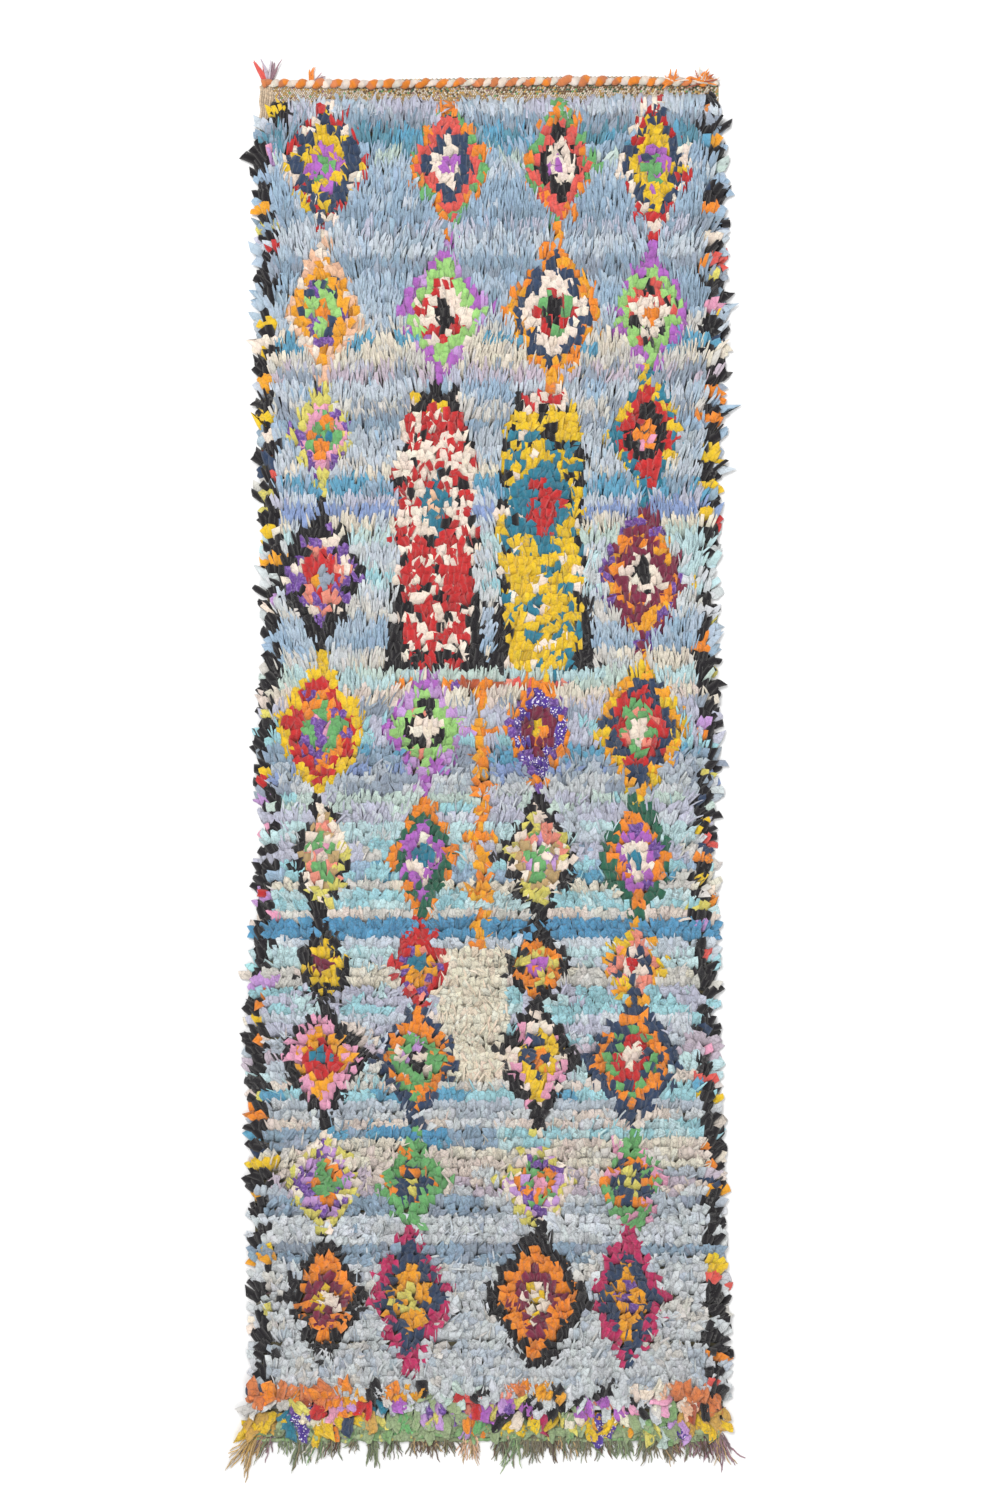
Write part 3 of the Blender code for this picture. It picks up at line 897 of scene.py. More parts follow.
def add_colours(mesh: bpy.types.Mesh, name: str, colours: Array) -> None:
    """Store a linear colour for each vertex."""
    layer = mesh.color_attributes.new(name, "FLOAT_COLOR", "POINT")
    full = np.concatenate([colours, np.ones((len(colours), 1))], 1)[:, :4]
    layer.data.foreach_set("color", np.ascontiguousarray(full, np.float32).ravel())


def add_map(mesh: bpy.types.Mesh, name: str, places: Array, by_corner: bool) -> None:
    """Store a map, given for each face corner or for each vertex."""
    layer = mesh.uv_layers.new(name=name)
    if not by_corner:
        corners = np.empty(len(mesh.loops), np.int32)
        mesh.loops.foreach_get("vertex_index", corners)
        places = places[corners]
    layer.data.foreach_set("uv", np.ascontiguousarray(places, np.float32).ravel())


def new_object(name: str, mesh: bpy.types.Mesh) -> bpy.types.Object:
    """Link a mesh into the scene under a name."""
    piece = bpy.data.objects.new(name, mesh)
    bpy.context.scene.collection.objects.link(piece)
    return piece


def select_none() -> None:
    """Deselect everything."""
    for other in bpy.context.view_layer.objects:
        other.select_set(False)


def only(piece: bpy.types.Object) -> None:
    """Select one object alone and make it active."""
    select_none()
    piece.select_set(True)
    bpy.context.view_layer.objects.active = piece


def settle(piece: bpy.types.Object, replaced: tuple[str, ...] = ()) -> bpy.types.Object:
    """Let a piece ride with the rug and hide the frame's nodes that it stands for.

    Args:
        piece: The finished piece.
        replaced: The frame's nodes that it stands for.

    Returns:
        The same piece.
    """
    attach(piece, BODY)
    if replaced:
        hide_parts(*replaced)
    piece.data.calc_loop_triangles()
    log.info("%s: %d triangles", piece.name, len(piece.data.loop_triangles))
    return piece


def sweep(path: Array, radius: Array, sides: int, flat: float = 1.0, lobes: float = 0.0) -> tuple[Array, Array, Array]:
    """Skin a round yarn along a path, with closed ends.

    Args:
        path: Points along the yarn.
        radius: The radius at each point.
        sides: Corners of a section.
        flat: Height of the section as a share of its width.
        lobes: How far a twisted rag's folds stand proud, as a share of the radius.

    Returns:
        Points, four-cornered faces and triangles.
    """
    along = np.gradient(path, axis=0)
    along /= np.linalg.norm(along, axis=1, keepdims=True)
    side = np.cross(along, np.array([0.0, 0.0, 1.0]))
    side /= np.maximum(np.linalg.norm(side, axis=1, keepdims=True), 1e-9)
    above = np.cross(side, along)
    angle = np.linspace(0.0, 2 * math.pi, sides, endpoint=False)
    twist = np.arange(len(path))[:, None] * 0.5
    swell = 1.0 + lobes * np.cos(3 * angle[None, :] + twist)
    reach = (radius[:, None] * swell)[..., None]
    points = (path[:, None, :] + side[:, None, :] * np.cos(angle)[None, :, None] * reach
              + above[:, None, :] * np.sin(angle)[None, :, None] * reach * flat)
    ring = np.arange(len(path) * sides).reshape(len(path), sides)
    quads = np.stack([ring[:-1], ring[1:], np.roll(ring[1:], -1, 1), np.roll(ring[:-1], -1, 1)], -1).reshape(-1, 4)
    middle = np.arange(1, sides - 1)
    first = np.stack([np.zeros_like(middle), middle, middle + 1], -1)
    last = ring[-1, 0] + np.stack([np.zeros_like(middle), middle + 1, middle], -1)
    return points.reshape(-1, 3), quads, np.concatenate([first, last])


def join_parts(parts: list[tuple[Array, Array, Array]]) -> tuple[Array, Array, Array]:
    """Join skinned parts into one set of arrays.

    Args:
        parts: Points, four-cornered faces and triangles of each part.

    Returns:
        Points, four-cornered faces and triangles of the whole.
    """
    starts = np.cumsum([0] + [len(part[0]) for part in parts[:-1]])
    points = np.concatenate([part[0] for part in parts])
    quads = np.concatenate([part[1] + start for part, start in zip(parts, starts)])
    triangles = np.concatenate([part[2] + start for part, start in zip(parts, starts)])
    return points, quads, triangles


class Socket(Enum):
    """Kinds of node group socket."""

    COLOUR = "NodeSocketColor"
    VALUE = "NodeSocketFloat"
    VECTOR = "NodeSocketVector"


class NodeSketch:
    """A small helper that adds and joins shader nodes in one tree."""

    def __init__(self, tree: bpy.types.NodeTree) -> None:
        """Work on a tree."""
        self.tree = tree

    def add(self, kind: str, **settings: object) -> bpy.types.Node:
        """Add a node and set its named settings."""
        node = self.tree.nodes.new(kind)
        for key, value in settings.items():
            setattr(node, key, value)
        return node

    def join(self, source: bpy.types.NodeSocket, target: bpy.types.NodeSocket) -> None:
        """Join two sockets."""
        self.tree.links.new(source, target)

    def math(self, operation: str, first: object, second: object = None, third: object = None) -> bpy.types.NodeSocket:
        """Add a Math node fed by sockets or numbers, and give its output."""
        node = self.add("ShaderNodeMath", operation=operation)
        for number, value in enumerate((first, second, third)):
            if isinstance(value, bpy.types.NodeSocket):
                self.join(value, node.inputs[number])
            elif value is not None:
                node.inputs[number].default_value = value
        return node.outputs[0]

    def mix(self, share: object, first: object, second: object, blend: str = "MIX") -> bpy.types.NodeSocket:
        """Add a colour Mix node and give its output."""
        node = self.add("ShaderNodeMix", data_type="RGBA", blend_type=blend)
        for number, value in ((0, share), (6, first), (7, second)):
            if isinstance(value, bpy.types.NodeSocket):
                self.join(value, node.inputs[number])
            else:
                node.inputs[number].default_value = value
        return node.outputs[2]

    def attribute(self, name: str) -> bpy.types.Node:
        """Add a node that reads a colour attribute of the mesh."""
        return self.add("ShaderNodeAttribute", attribute_name=name, attribute_type="GEOMETRY")

    def toned(self, colour: bpy.types.NodeSocket, tone: bpy.types.NodeSocket) -> bpy.types.NodeSocket:
        """Multiply a colour by a tone."""
        grey = self.add("ShaderNodeCombineColor")
        for channel in ("Red", "Green", "Blue"):
            self.join(tone, grey.inputs[channel])
        return self.mix(1.0, colour, grey.outputs["Color"], "MULTIPLY")


def new_group(name: str, inputs: dict[str, Socket], outputs: dict[str, Socket]) -> tuple[bpy.types.NodeTree, NodeSketch,
                                                                                        bpy.types.Node, bpy.types.Node]:
    """Start a shader node group with named sockets.

    Args:
        name: The group's name.
        inputs: Its inputs and their kinds.
        outputs: Its outputs and their kinds.

    Returns:
        The group, a sketch on it, and its input and output nodes.
    """
    group = bpy.data.node_groups.new(name, "ShaderNodeTree")
    for label, kind in inputs.items():
        group.interface.new_socket(label, in_out="INPUT", socket_type=kind.value)
    for label, kind in outputs.items():
        group.interface.new_socket(label, in_out="OUTPUT", socket_type=kind.value)
    sketch = NodeSketch(group)
    return group, sketch, sketch.add("NodeGroupInput"), sketch.add("NodeGroupOutput")


def rag_print_group() -> bpy.types.NodeTree:
    """Prints of the maker's old cloths: heather, dots or flowers, chosen by a number."""
    group, sketch, given, out = new_group(
        "rag_print",
        {"Ground": Socket.COLOUR, "Second": Socket.COLOUR, "Kind": Socket.VALUE, "Place": Socket.VECTOR},
        {"Colour": Socket.COLOUR})
    place = given.outputs["Place"]
    flecks = sketch.add("ShaderNodeTexNoise")
    flecks.inputs["Scale"].default_value = 620.0
    flecks.inputs["Detail"].default_value = 2.0
    sketch.join(place, flecks.inputs["Vector"])
    heather = sketch.math("MULTIPLY", sketch.math("SMOOTH_MIN", flecks.outputs["Fac"], 1.0, 0.1), 0.85)
    spots = sketch.add("ShaderNodeTexVoronoi")
    spots.inputs["Scale"].default_value = 190.0
    sketch.join(place, spots.inputs["Vector"])
    dots = sketch.math("LESS_THAN", spots.outputs["Distance"], 0.34)
    petals = sketch.add("ShaderNodeTexNoise")
    petals.inputs["Scale"].default_value = 150.0
    petals.inputs["Detail"].default_value = 3.0
    sketch.join(place, petals.inputs["Vector"])
    flowers = sketch.math("GREATER_THAN", petals.outputs["Fac"], 0.53)
    share = None
    for kind, mask in ((Print.HEATHER, heather), (Print.DOTS, dots), (Print.FLOWERS, flowers)):
        gate = sketch.math("COMPARE", given.outputs["Kind"], float(kind), 0.4)
        part = sketch.math("MULTIPLY", gate, mask)
        share = part if share is None else sketch.math("ADD", share, part)
    sketch.join(sketch.mix(share, given.outputs["Ground"], given.outputs["Second"]), out.inputs["Colour"])
    return group


def cloth_surface_group() -> bpy.types.NodeTree:
    """Worn cloth close to: crossing threads, soft creases and a height for both."""
    group, sketch, given, out = new_group(
        "cloth_surface", {"Place": Socket.VECTOR, "Threads": Socket.VALUE, "Creases": Socket.VALUE},
        {"Tone": Socket.VALUE, "Height": Socket.VALUE, "Roughness": Socket.VALUE, "Line": Socket.VALUE})
    place = given.outputs["Place"]
    parts = sketch.add("ShaderNodeSeparateXYZ")
    sketch.join(place, parts.inputs[0])
    warp = sketch.math("SINE", sketch.math("MULTIPLY", parts.outputs["X"], given.outputs["Threads"]))
    weft = sketch.math("SINE", sketch.math("MULTIPLY", parts.outputs["Y"], given.outputs["Threads"]))
    thread = sketch.math("MULTIPLY", warp, weft)
    folds = sketch.add("ShaderNodeTexNoise")
    folds.inputs["Detail"].default_value = 3.0
    folds.inputs["Roughness"].default_value = 0.6
    sketch.join(place, folds.inputs["Vector"])
    sketch.join(given.outputs["Creases"], folds.inputs["Scale"])
    drawn = sketch.add("ShaderNodeVectorMath", operation="MULTIPLY")
    drawn.inputs[1].default_value = (1.0, 0.12, 1.0)
    sketch.join(place, drawn.inputs[0])
    streaks = sketch.add("ShaderNodeTexNoise")
    streaks.inputs["Detail"].default_value = 2.0
    sketch.join(drawn.outputs["Vector"], streaks.inputs["Vector"])
    sketch.join(sketch.math("MULTIPLY", given.outputs["Creases"], 4.2), streaks.inputs["Scale"])
    bent = sketch.add("ShaderNodeVectorMath", operation="MULTIPLY_ADD")
    sketch.join(folds.outputs["Color"], bent.inputs[0])
    bent.inputs[1].default_value = (0.010, 0.010, 0.0)
    sketch.join(place, bent.inputs[2])
    facets = sketch.add("ShaderNodeTexVoronoi", feature="DISTANCE_TO_EDGE")
    sketch.join(bent.outputs["Vector"], facets.inputs["Vector"])
    sketch.join(sketch.math("MULTIPLY", given.outputs["Creases"], 0.75), facets.inputs["Scale"])
    # Line: a mask along the crease facets' edges, for the bump here and for the rags' painted crease shadows.
    near = sketch.math("MINIMUM", sketch.math("MULTIPLY", facets.outputs["Distance"], 11.0), 1.0)
    line = sketch.math("POWER", sketch.math("SUBTRACT", 1.0, near), 1.5)
    sketch.join(line, out.inputs["Line"])
    fold = sketch.math("MULTIPLY_ADD", streaks.outputs["Fac"], 0.7, folds.outputs["Fac"])
    tone = sketch.math("ADD", sketch.math("MULTIPLY", thread, 0.045), sketch.math("MULTIPLY_ADD", fold, 0.24, 0.80))
    sketch.join(tone, out.inputs["Tone"])
    sketch.join(sketch.math("MULTIPLY_ADD", line, -0.35, sketch.math("MULTIPLY_ADD", thread, 0.14, fold)),
                out.inputs["Height"])
    sketch.join(sketch.math("MULTIPLY_ADD", fold, 0.14, 0.82), out.inputs["Roughness"])
    return group


@dataclass
class Cloths:
    """Every material of the rug, built once."""

    print_group: bpy.types.NodeTree = field(default_factory=rag_print_group)
    surface_group: bpy.types.NodeTree = field(default_factory=cloth_surface_group)

    def start(self, name: str, sheen: float) -> tuple[bpy.types.Material, NodeSketch, bpy.types.Node]:
        """Start a matte cloth material."""
        material = bpy.data.materials.new(name)
        material.use_nodes = True
        sketch = NodeSketch(material.node_tree)
        shader = material.node_tree.nodes["Principled BSDF"]
        shader.inputs["Sheen Weight"].default_value = sheen
        shader.inputs["Sheen Roughness"].default_value = 0.5
        shader.inputs["Specular IOR Level"].default_value = 0.25
        return material, sketch, shader

    def surface(self, sketch: NodeSketch, shader: bpy.types.Node, place: bpy.types.NodeSocket, threads: float,
                creases: float, depth: float, crumple: bpy.types.NodeSocket | None = None) -> bpy.types.NodeSocket:
        """Give a material its threads and creases.

        Args:
            sketch: The material's nodes.
            shader: Its shader.
            place: The coordinates that the cloth follows.
            threads: How close the threads lie.
            creases: How close the creases lie.
            depth: How deep both are.
            crumple: How crumpled the cloth is; where given, the colour also carries painted crease shadows, deeper on
                crumpled cloth.

        Returns:
            The cloth's tone, a factor for its colour.
        """
        node = sketch.add("ShaderNodeGroup", node_tree=self.surface_group)
        sketch.join(place, node.inputs["Place"])
        node.inputs["Threads"].default_value = threads
        node.inputs["Creases"].default_value = creases
        bump = sketch.add("ShaderNodeBump")
        bump.inputs["Strength"].default_value = 0.8
        bump.inputs["Distance"].default_value = depth
        height = node.outputs["Height"]
        if crumple is not None:
            height = sketch.math("MULTIPLY", height, sketch.math("MULTIPLY_ADD", crumple, 0.8, 0.5))
            # Painted crease shadows: the colour darkens along the crease lines, more on crumpled cloth, and is lifted
            # by a tenth elsewhere.
            crease_shadow_depth = sketch.math("MULTIPLY_ADD", crumple, -0.34, -0.10)
            line = sketch.math("MULTIPLY_ADD", node.outputs["Line"], crease_shadow_depth, 1.10)
        sketch.join(height, bump.inputs["Height"])
        sketch.join(bump.outputs["Normal"], shader.inputs["Normal"])
        sketch.join(node.outputs["Roughness"], shader.inputs["Roughness"])
        return node.outputs["Tone"] if crumple is None else sketch.math("MULTIPLY", node.outputs["Tone"], line)

    @cached_property
    def rag(self) -> bpy.types.Material:
        """Cut rags: printed cloth with pale frayed edges, with painted shade towards the roots down in the pile and
        painted shadow lines along the cut edges and creases.
        """
        material, sketch, shader = self.start("rag_cloth", 0.2)
        place = sketch.add("ShaderNodeUVMap", uv_map="RagPlace").outputs["UV"]
        shape = sketch.attribute("rag_form")
        form = sketch.add("ShaderNodeSeparateColor")
        sketch.join(shape.outputs["Color"], form.inputs[0])
        edge, along, kind = form.outputs["Red"], form.outputs["Green"], form.outputs["Blue"]
        printed = sketch.add("ShaderNodeGroup", node_tree=self.print_group)
        sketch.join(sketch.attribute("rag").outputs["Color"], printed.inputs["Ground"])
        sketch.join(sketch.attribute("rag_second").outputs["Color"], printed.inputs["Second"])
        sketch.join(sketch.math("MULTIPLY", kind, KIND_SCALE), printed.inputs["Kind"])
        sketch.join(place, printed.inputs["Place"])
        tone = self.surface(sketch, shader, place, 5200.0, 120.0, 0.0026, shape.outputs["Alpha"])
        # Painted shade: each rag darkens towards its root, down in the pile.
        deep = sketch.math("MULTIPLY_ADD", along, 0.24, 0.82)
        # Painted shadow: a thin dark outline along each rag's cut edges, where rags shade each other, deeper on
        # crumpled rags.
        darker = sketch.math("MULTIPLY_ADD", shape.outputs["Alpha"], -0.34, -0.14)
        line = sketch.math("MULTIPLY_ADD", sketch.math("POWER", edge, 16.0), darker, 1.0)
        shade = sketch.math("MULTIPLY", tone, sketch.math("MULTIPLY", sketch.math("MINIMUM", deep, 1.0), line))
        toned = sketch.toned(printed.outputs["Colour"], shade)
        frayed = sketch.math("MULTIPLY", sketch.math("POWER", edge, 3.0), 0.10)
        sketch.join(sketch.mix(frayed, toned, (0.86, 0.84, 0.80, 1.0)), shader.inputs["Base Color"])
        return material

    def yarn(self, name: str, threads: float = 2600.0) -> bpy.types.Material:
        """Spun yarn in the colours that its mesh carries."""
        material, sketch, shader = self.start(name, 0.3)
        place = sketch.add("ShaderNodeTexCoord").outputs["Object"]
        tone = self.surface(sketch, shader, place, threads, 420.0, 0.0009)
        sketch.join(sketch.toned(sketch.attribute("rag").outputs["Color"], tone), shader.inputs["Base Color"])
        return material

    def ground(self) -> bpy.types.Material:
        """The woven ground, with rows of knot backs in the pattern's colours between plain wefts, and painted shade on
        its top face under the pile.
        """
        material, sketch, shader = self.start("woven_ground", 0.1)
        place = sketch.add("ShaderNodeTexCoord").outputs["Object"]
        parts = sketch.add("ShaderNodeSeparateXYZ")
        sketch.join(place, parts.inputs[0])
        row = sketch.math("SINE", sketch.math("MULTIPLY", parts.outputs["Y"], 2 * math.pi / ROW_PITCH))
        knot = sketch.math("SINE", sketch.math("MULTIPLY", parts.outputs["X"], 2 * math.pi / 0.0115))
        weft = sketch.math("LESS_THAN", row, -0.25)
        warp_colour = (*linear_colour("#8C8468"), 1.0)
        mixed = sketch.mix(weft, sketch.attribute("rag").outputs["Color"], warp_colour)
        tone = self.surface(sketch, shader, place, 1500.0, 160.0, 0.002)
        lumps = sketch.math("MULTIPLY_ADD", sketch.math("MULTIPLY", row, knot), 0.12, tone)
        # Painted shade: the top face, deep under the pile, darkens to under half; the underside keeps the knot backs'
        # own colours.
        lumps = sketch.math("MULTIPLY", lumps, sketch.math("MULTIPLY_ADD", parts.outputs["Z"], -230.0, 1.0))
        sketch.join(sketch.toned(mixed, lumps), shader.inputs["Base Color"])
        return material


@dataclass
class GroundWeave:
    """The woven ground that the rags are knotted into: a thin sheet on the floor."""

    outline: Outline
    chart: RugChart
    cloths: Cloths
    thickness: float = 0.0024
    columns: int = 48
    rows: int = 138

    def build(self) -> bpy.types.Object:
        """Model the sheet from a grid, shaped to the outline and thickened downwards to the floor."""
        select_none()
        bpy.ops.mesh.primitive_grid_add(x_subdivisions=self.columns, y_subdivisions=self.rows, size=1.0,
                                        location=(0.0, 0.0, 0.0))
        sheet = bpy.context.active_object
        sheet.name = "ground_weave"
        mesh = sheet.data
        points = np.empty(len(mesh.vertices) * 3)
        mesh.vertices.foreach_get("co", points)
        points = points.reshape(-1, 3)
        y = self.outline.foot + (points[:, 1] + 0.5) * (self.outline.head - self.outline.foot)
        left, right = self.outline.walls(y)
        points[:, 0] = left + (points[:, 0] + 0.5) * (right - left)
        points[:, 1] = y
        points[:, 2] = self.thickness
        mesh.vertices.foreach_set("co", points.ravel())
        row = np.clip(((y - self.outline.foot) / ROW_PITCH).astype(int), 0, self.rows)
        rags, _ = self.chart.rags_at(points[:, 0], y, row)
        add_colours(mesh, "rag", RAG_COLOURS[rags] * 0.8)
        only(sheet)
        thick = sheet.modifiers.new("cloth", "SOLIDIFY")
        thick.thickness = self.thickness
        thick.offset = -1.0
        bpy.ops.object.modifier_apply(modifier=thick.name)
        sheet.data.materials.append(self.cloths.ground())
        return settle(sheet, ("shag_pile",))

    def flat_size(self) -> tuple[float, float]:
        """Width and length of the woven cloth."""
        return float(np.mean(self.outline.right - self.outline.left)), self.outline.head - self.outline.foot


@dataclass
class RagPile:
    """The pile: rows of rags knotted round the warps, each with two cut ends."""

    outline: Outline
    chart: RugChart
    cloths: Cloths
    big_rag_depth: float = 0.050
    lap: float = 0.013
    slivers: int = 14500
    seed: int = 31

    def knots(self) -> tuple[Array, Array, Array]:
        """Place every knot; the first row is knotted a little way up the flat band.

        Returns:
            Each knot's x, y and row.
        """
        rng = np.random.default_rng(self.seed)
        head = self.outline.head + self.lap
        rows = int((head - self.outline.foot - self.big_rag_depth) / ROW_PITCH) + 1
        places = []
        for row in range(rows):
            y = head - (rows - 1 - row) * ROW_PITCH
            left, right = self.outline.walls(y)
            count = int((right - left) / KNOT_PITCH)
            x = left + (right - left) * (np.arange(count) + 0.5 + 0.25 * (row % 2)) / count
            x = np.clip(x + rng.normal(0.0, 0.0016, count), left + 0.003, right - 0.003)
            x = x[(x > left + 0.024) | (y < self.outline.head - 0.040)]
            rise = np.interp(x, (-0.40, 0.05, 0.37), (0.0, 0.006, 0.015)) if row == rows - 1 else 0.0
            places.append(np.stack([x, y + rise + rng.normal(0.0, 0.0016, len(x)), np.full(len(x), row)], -1))
        placed = np.concatenate(places)
        return placed[:, 0], placed[:, 1], placed[:, 2].astype(int)

    @staticmethod
    def combed(y: Array) -> Array:
        """How well combed the pile is: 1 in the heading's half, 0 where it is crumpled."""
        return np.clip((y + 0.25) / 0.5, 0.0, 1.0)

    def lean(self, x: Array, y: Array, row: Array) -> Array:
        """Which way the pile lies; the first row falls over the next.

        Args:
            x: The knots' places across the rug.
            y: Their places along it.
            row: Their rows.

        Returns:
            Each knot's lean, as (across, along).
        """
        rng = np.random.default_rng(self.seed + 1)
        combed = self.combed(y)
        shelf = rng.normal(0.0, 1.0, int(row.max()) + 1)[row]
        along = 0.74 + 0.18 * combed + (0.20 - 0.08 * combed) * shelf + 0.20 * Drift(self.seed + 3, 0.16).at(x, y)
        across = (0.42 - 0.24 * combed) * Drift(self.seed + 4, 0.10).at(x, y)
        left, right = self.outline.walls(y)
        across += 1.1 * np.exp(-(right - x) / 0.018) - 1.1 * np.exp(-(x - left) / 0.018)
        along[row == row.max()] = -1.05
        along[row == row.max() - 1] = 0.15
        along[row == row.max() - 2] *= 0.75
        lean = np.stack([across, along], -1)
        return lean + rng.normal(0.0, 1.0, lean.shape) * (0.13 - 0.05 * combed)[:, None]

    def ends(self) -> tuple[RagEnds, Array]:
        """Cut and lay both ends of every knot, then take their rags from the chart where they show.

        Returns:
            The ends, and whether each belongs to a motif.
        """
        rng = np.random.default_rng(self.seed + 5)
        x, y, row = self.knots()
        lean = self.lean(x, y, row)
        guess = 0.024 * np.clip(lean, -1.0, 1.0)
        _, raised = self.chart.rags_at(x + guess[:, 0], y + guess[:, 1], row)
        both = np.repeat(np.arange(len(x)), 2)
        count = len(both)
        which = np.tile([-1.0, 1.0], len(x))
        motif, combed = raised[both], self.combed(y[both])
        loose = np.where(motif, 0.60, 0.50 * (1.0 - combed))
        lean = lean[both] + np.stack([which * rng.random(count), rng.normal(0.0, 1.0, count)], -1) * (
            0.08 + 0.20 * loose)[:, None]
        pull = np.hypot(lean[:, 0], lean[:, 1])
        fall = np.interp(pull, (0.2, 0.9, 1.3), (0.55, -0.10, -0.35)) + rng.normal(0.0, 0.10 + 0.14 * loose)
        left, right = self.outline.walls(y[both])
        rim = np.minimum(x[both] - left, right - x[both]) < 0.013
        fall = np.where(rim, rng.uniform(-0.9, -0.20, count), fall)
        length = rng.uniform(0.030, 0.040, count) + np.where(motif, 0.0, rng.uniform(0.004, 0.016, count) * combed)
        second_row = np.where(row[both] == row.max() - 1, 0.7, 1.0)
        length *= np.where(rim, rng.uniform(0.64, 1.00, count) - 0.10 * combed, second_row)
        width = rng.uniform(0.0120, 0.0190, count) + np.where(motif | rim, 0.0010, -0.0085 * combed)
        folded = rng.random(count) < 0.15
        stray = rng.normal(0.0, 1.0, count) * np.where(rim, 0.006, np.where(motif, 0.0015, 0.001 + 0.0035 * combed))
        ends = RagEnds(
            root=np.stack([x[both] + 0.0026 * which, y[both] + stray, np.full(count, 0.0035)], -1),
            facing=np.arctan2(lean[:, 0], lean[:, 1]) + np.where(rim, rng.normal(0.0, 0.35, count), 0.0),
            length=length, width=width, rise=rng.uniform(1.00, 1.35, count), fall=fall,
            turn=rng.normal(0.0, 0.12 + 0.28 * loose), twist=rng.normal(0.0, 0.10 + 0.18 * loose),
            curl=rng.normal(0.0, 0.20 + 0.35 * loose),
            tip=rng.uniform(0.72, 1.12, count) - np.where(motif | rim, 0.0, rng.uniform(0.0, 0.4, count) * combed),
            skew=rng.normal(0.0, 0.20, count) * np.where(motif, 1.0, 1.0 + 1.6 * combed),
            ridge=np.where(folded, rng.uniform(0.16, 0.26, count), rng.uniform(0.04, 0.11, count)),
            crumple=np.where(motif, 0.45, 1.0 - 0.75 * combed), rag=np.zeros(count, int))
        shown_x, shown_y = (shown.reshape(-1, 2).mean(1) for shown in ends.shown())
        shown_x, shown_y = shown_x + rng.normal(0.0, 0.0025, len(x)), shown_y + rng.normal(0.0, 0.0025, len(x))
        rags, raised = self.chart.rags_at(shown_x, shown_y, row)
        ends.rag = np.repeat(rags, 2)
        return ends, np.repeat(raised, 2)

    def frayed(self) -> Slivers:
        """Narrow strips that have frayed off the rags and lie among them, mostly where the pile is combed."""
        rng = np.random.default_rng(self.seed + 9)
        x, y, row = self.knots()
        left, right = self.outline.walls(y)
        chance = (0.25 + self.combed(y)) * ((x > left + 0.03) & (x < right - 0.03))
        chosen = rng.choice(len(x), self.slivers, p=chance / chance.sum())
        lean = self.lean(x, y, row)[chosen]
        x, y, row = x[chosen] + rng.normal(0.0, 0.004, self.slivers), y[chosen], row[chosen]
        combed = self.combed(y)
        loose = rng.normal(0.0, 1.0, (5, self.slivers)) * (1.0 - 0.6 * combed)
        ends = Slivers(
            root=np.stack([x, y + rng.normal(0.0, 0.004, self.slivers), np.full(self.slivers, 0.006)], -1),
            facing=np.arctan2(lean[:, 0], lean[:, 1]) + 0.30 * loose[0], length=rng.uniform(0.034, 0.050, self.slivers),
            width=rng.uniform(0.0020, 0.0060, self.slivers), rise=rng.uniform(1.0, 1.3, self.slivers),
            fall=0.12 + 0.22 * loose[1], turn=0.40 * loose[2], twist=0.5 * loose[3], curl=0.7 * loose[4],
            tip=rng.uniform(0.1, 1.0, self.slivers), skew=rng.normal(0.0, 0.5, self.slivers),
            ridge=rng.uniform(0.08, 0.25, self.slivers), crumple=np.full(self.slivers, 0.3),
            rag=np.zeros(self.slivers, int))
        shown_x, shown_y = ends.shown()
        ends.rag, raised = self.chart.rags_at(shown_x, shown_y, row)
        return ends.take(~raised & (row < row.max() - 1))

    def build(self) -> list[bpy.types.Object]:
        """Make the pile as a few long pieces, by the maker's heaps of rags."""
        ends, motif = self.ends()
        cloth = self.cloths.rag
        pieces = []
        for number, (name, chosen) in enumerate(self.heaps(ends, motif).items()):
            piece = ends.take(chosen).build(name, cloth, self.seed + 20 + number)
            pieces.append(settle(piece))
        pieces.append(settle(self.frayed().build("frayed_strips", cloth, self.seed + 40)))
        return pieces

    @staticmethod
    def heaps(ends: RagEnds, motif: Array) -> dict[str, Array]:
        """Sort the ends into pieces that each run the rug's whole length.

        Args:
            ends: All the ends.
            motif: Which of them belong to a motif.

        Returns:
            Which ends each named piece takes.
        """
        ground = {"blue_rags": "sky pale_blue periwinkle steel slate grey_blue turquoise teal_blue strong_blue",
                  "pale_rags": "ice white_blue lavender lilac_grey silver"}
        bright = {"dark_rags": "black navy plum bottle teal purple violet_print",
                  "warm_rags": "red orange marigold yellow lemon coral salmon crimson rust"}
        heaps = {}
        for among, named, rest in ((~motif, ground, "soft_rags"), (motif, bright, "light_rags")):
            left = among.copy()
            for heap, names in named.items():
                heaps[heap] = among & np.isin(ends.rag, rag_numbers(names))
                left &= ~heaps[heap]
            heaps[rest] = left
        return heaps


@dataclass(frozen=True)
class FootRow:
    """A row of big rags across the foot: where it is rooted, which way it lies, and its rags from left to right."""

    up: float
    height: float
    length: float
    facing: float
    copies: int
    rags: str


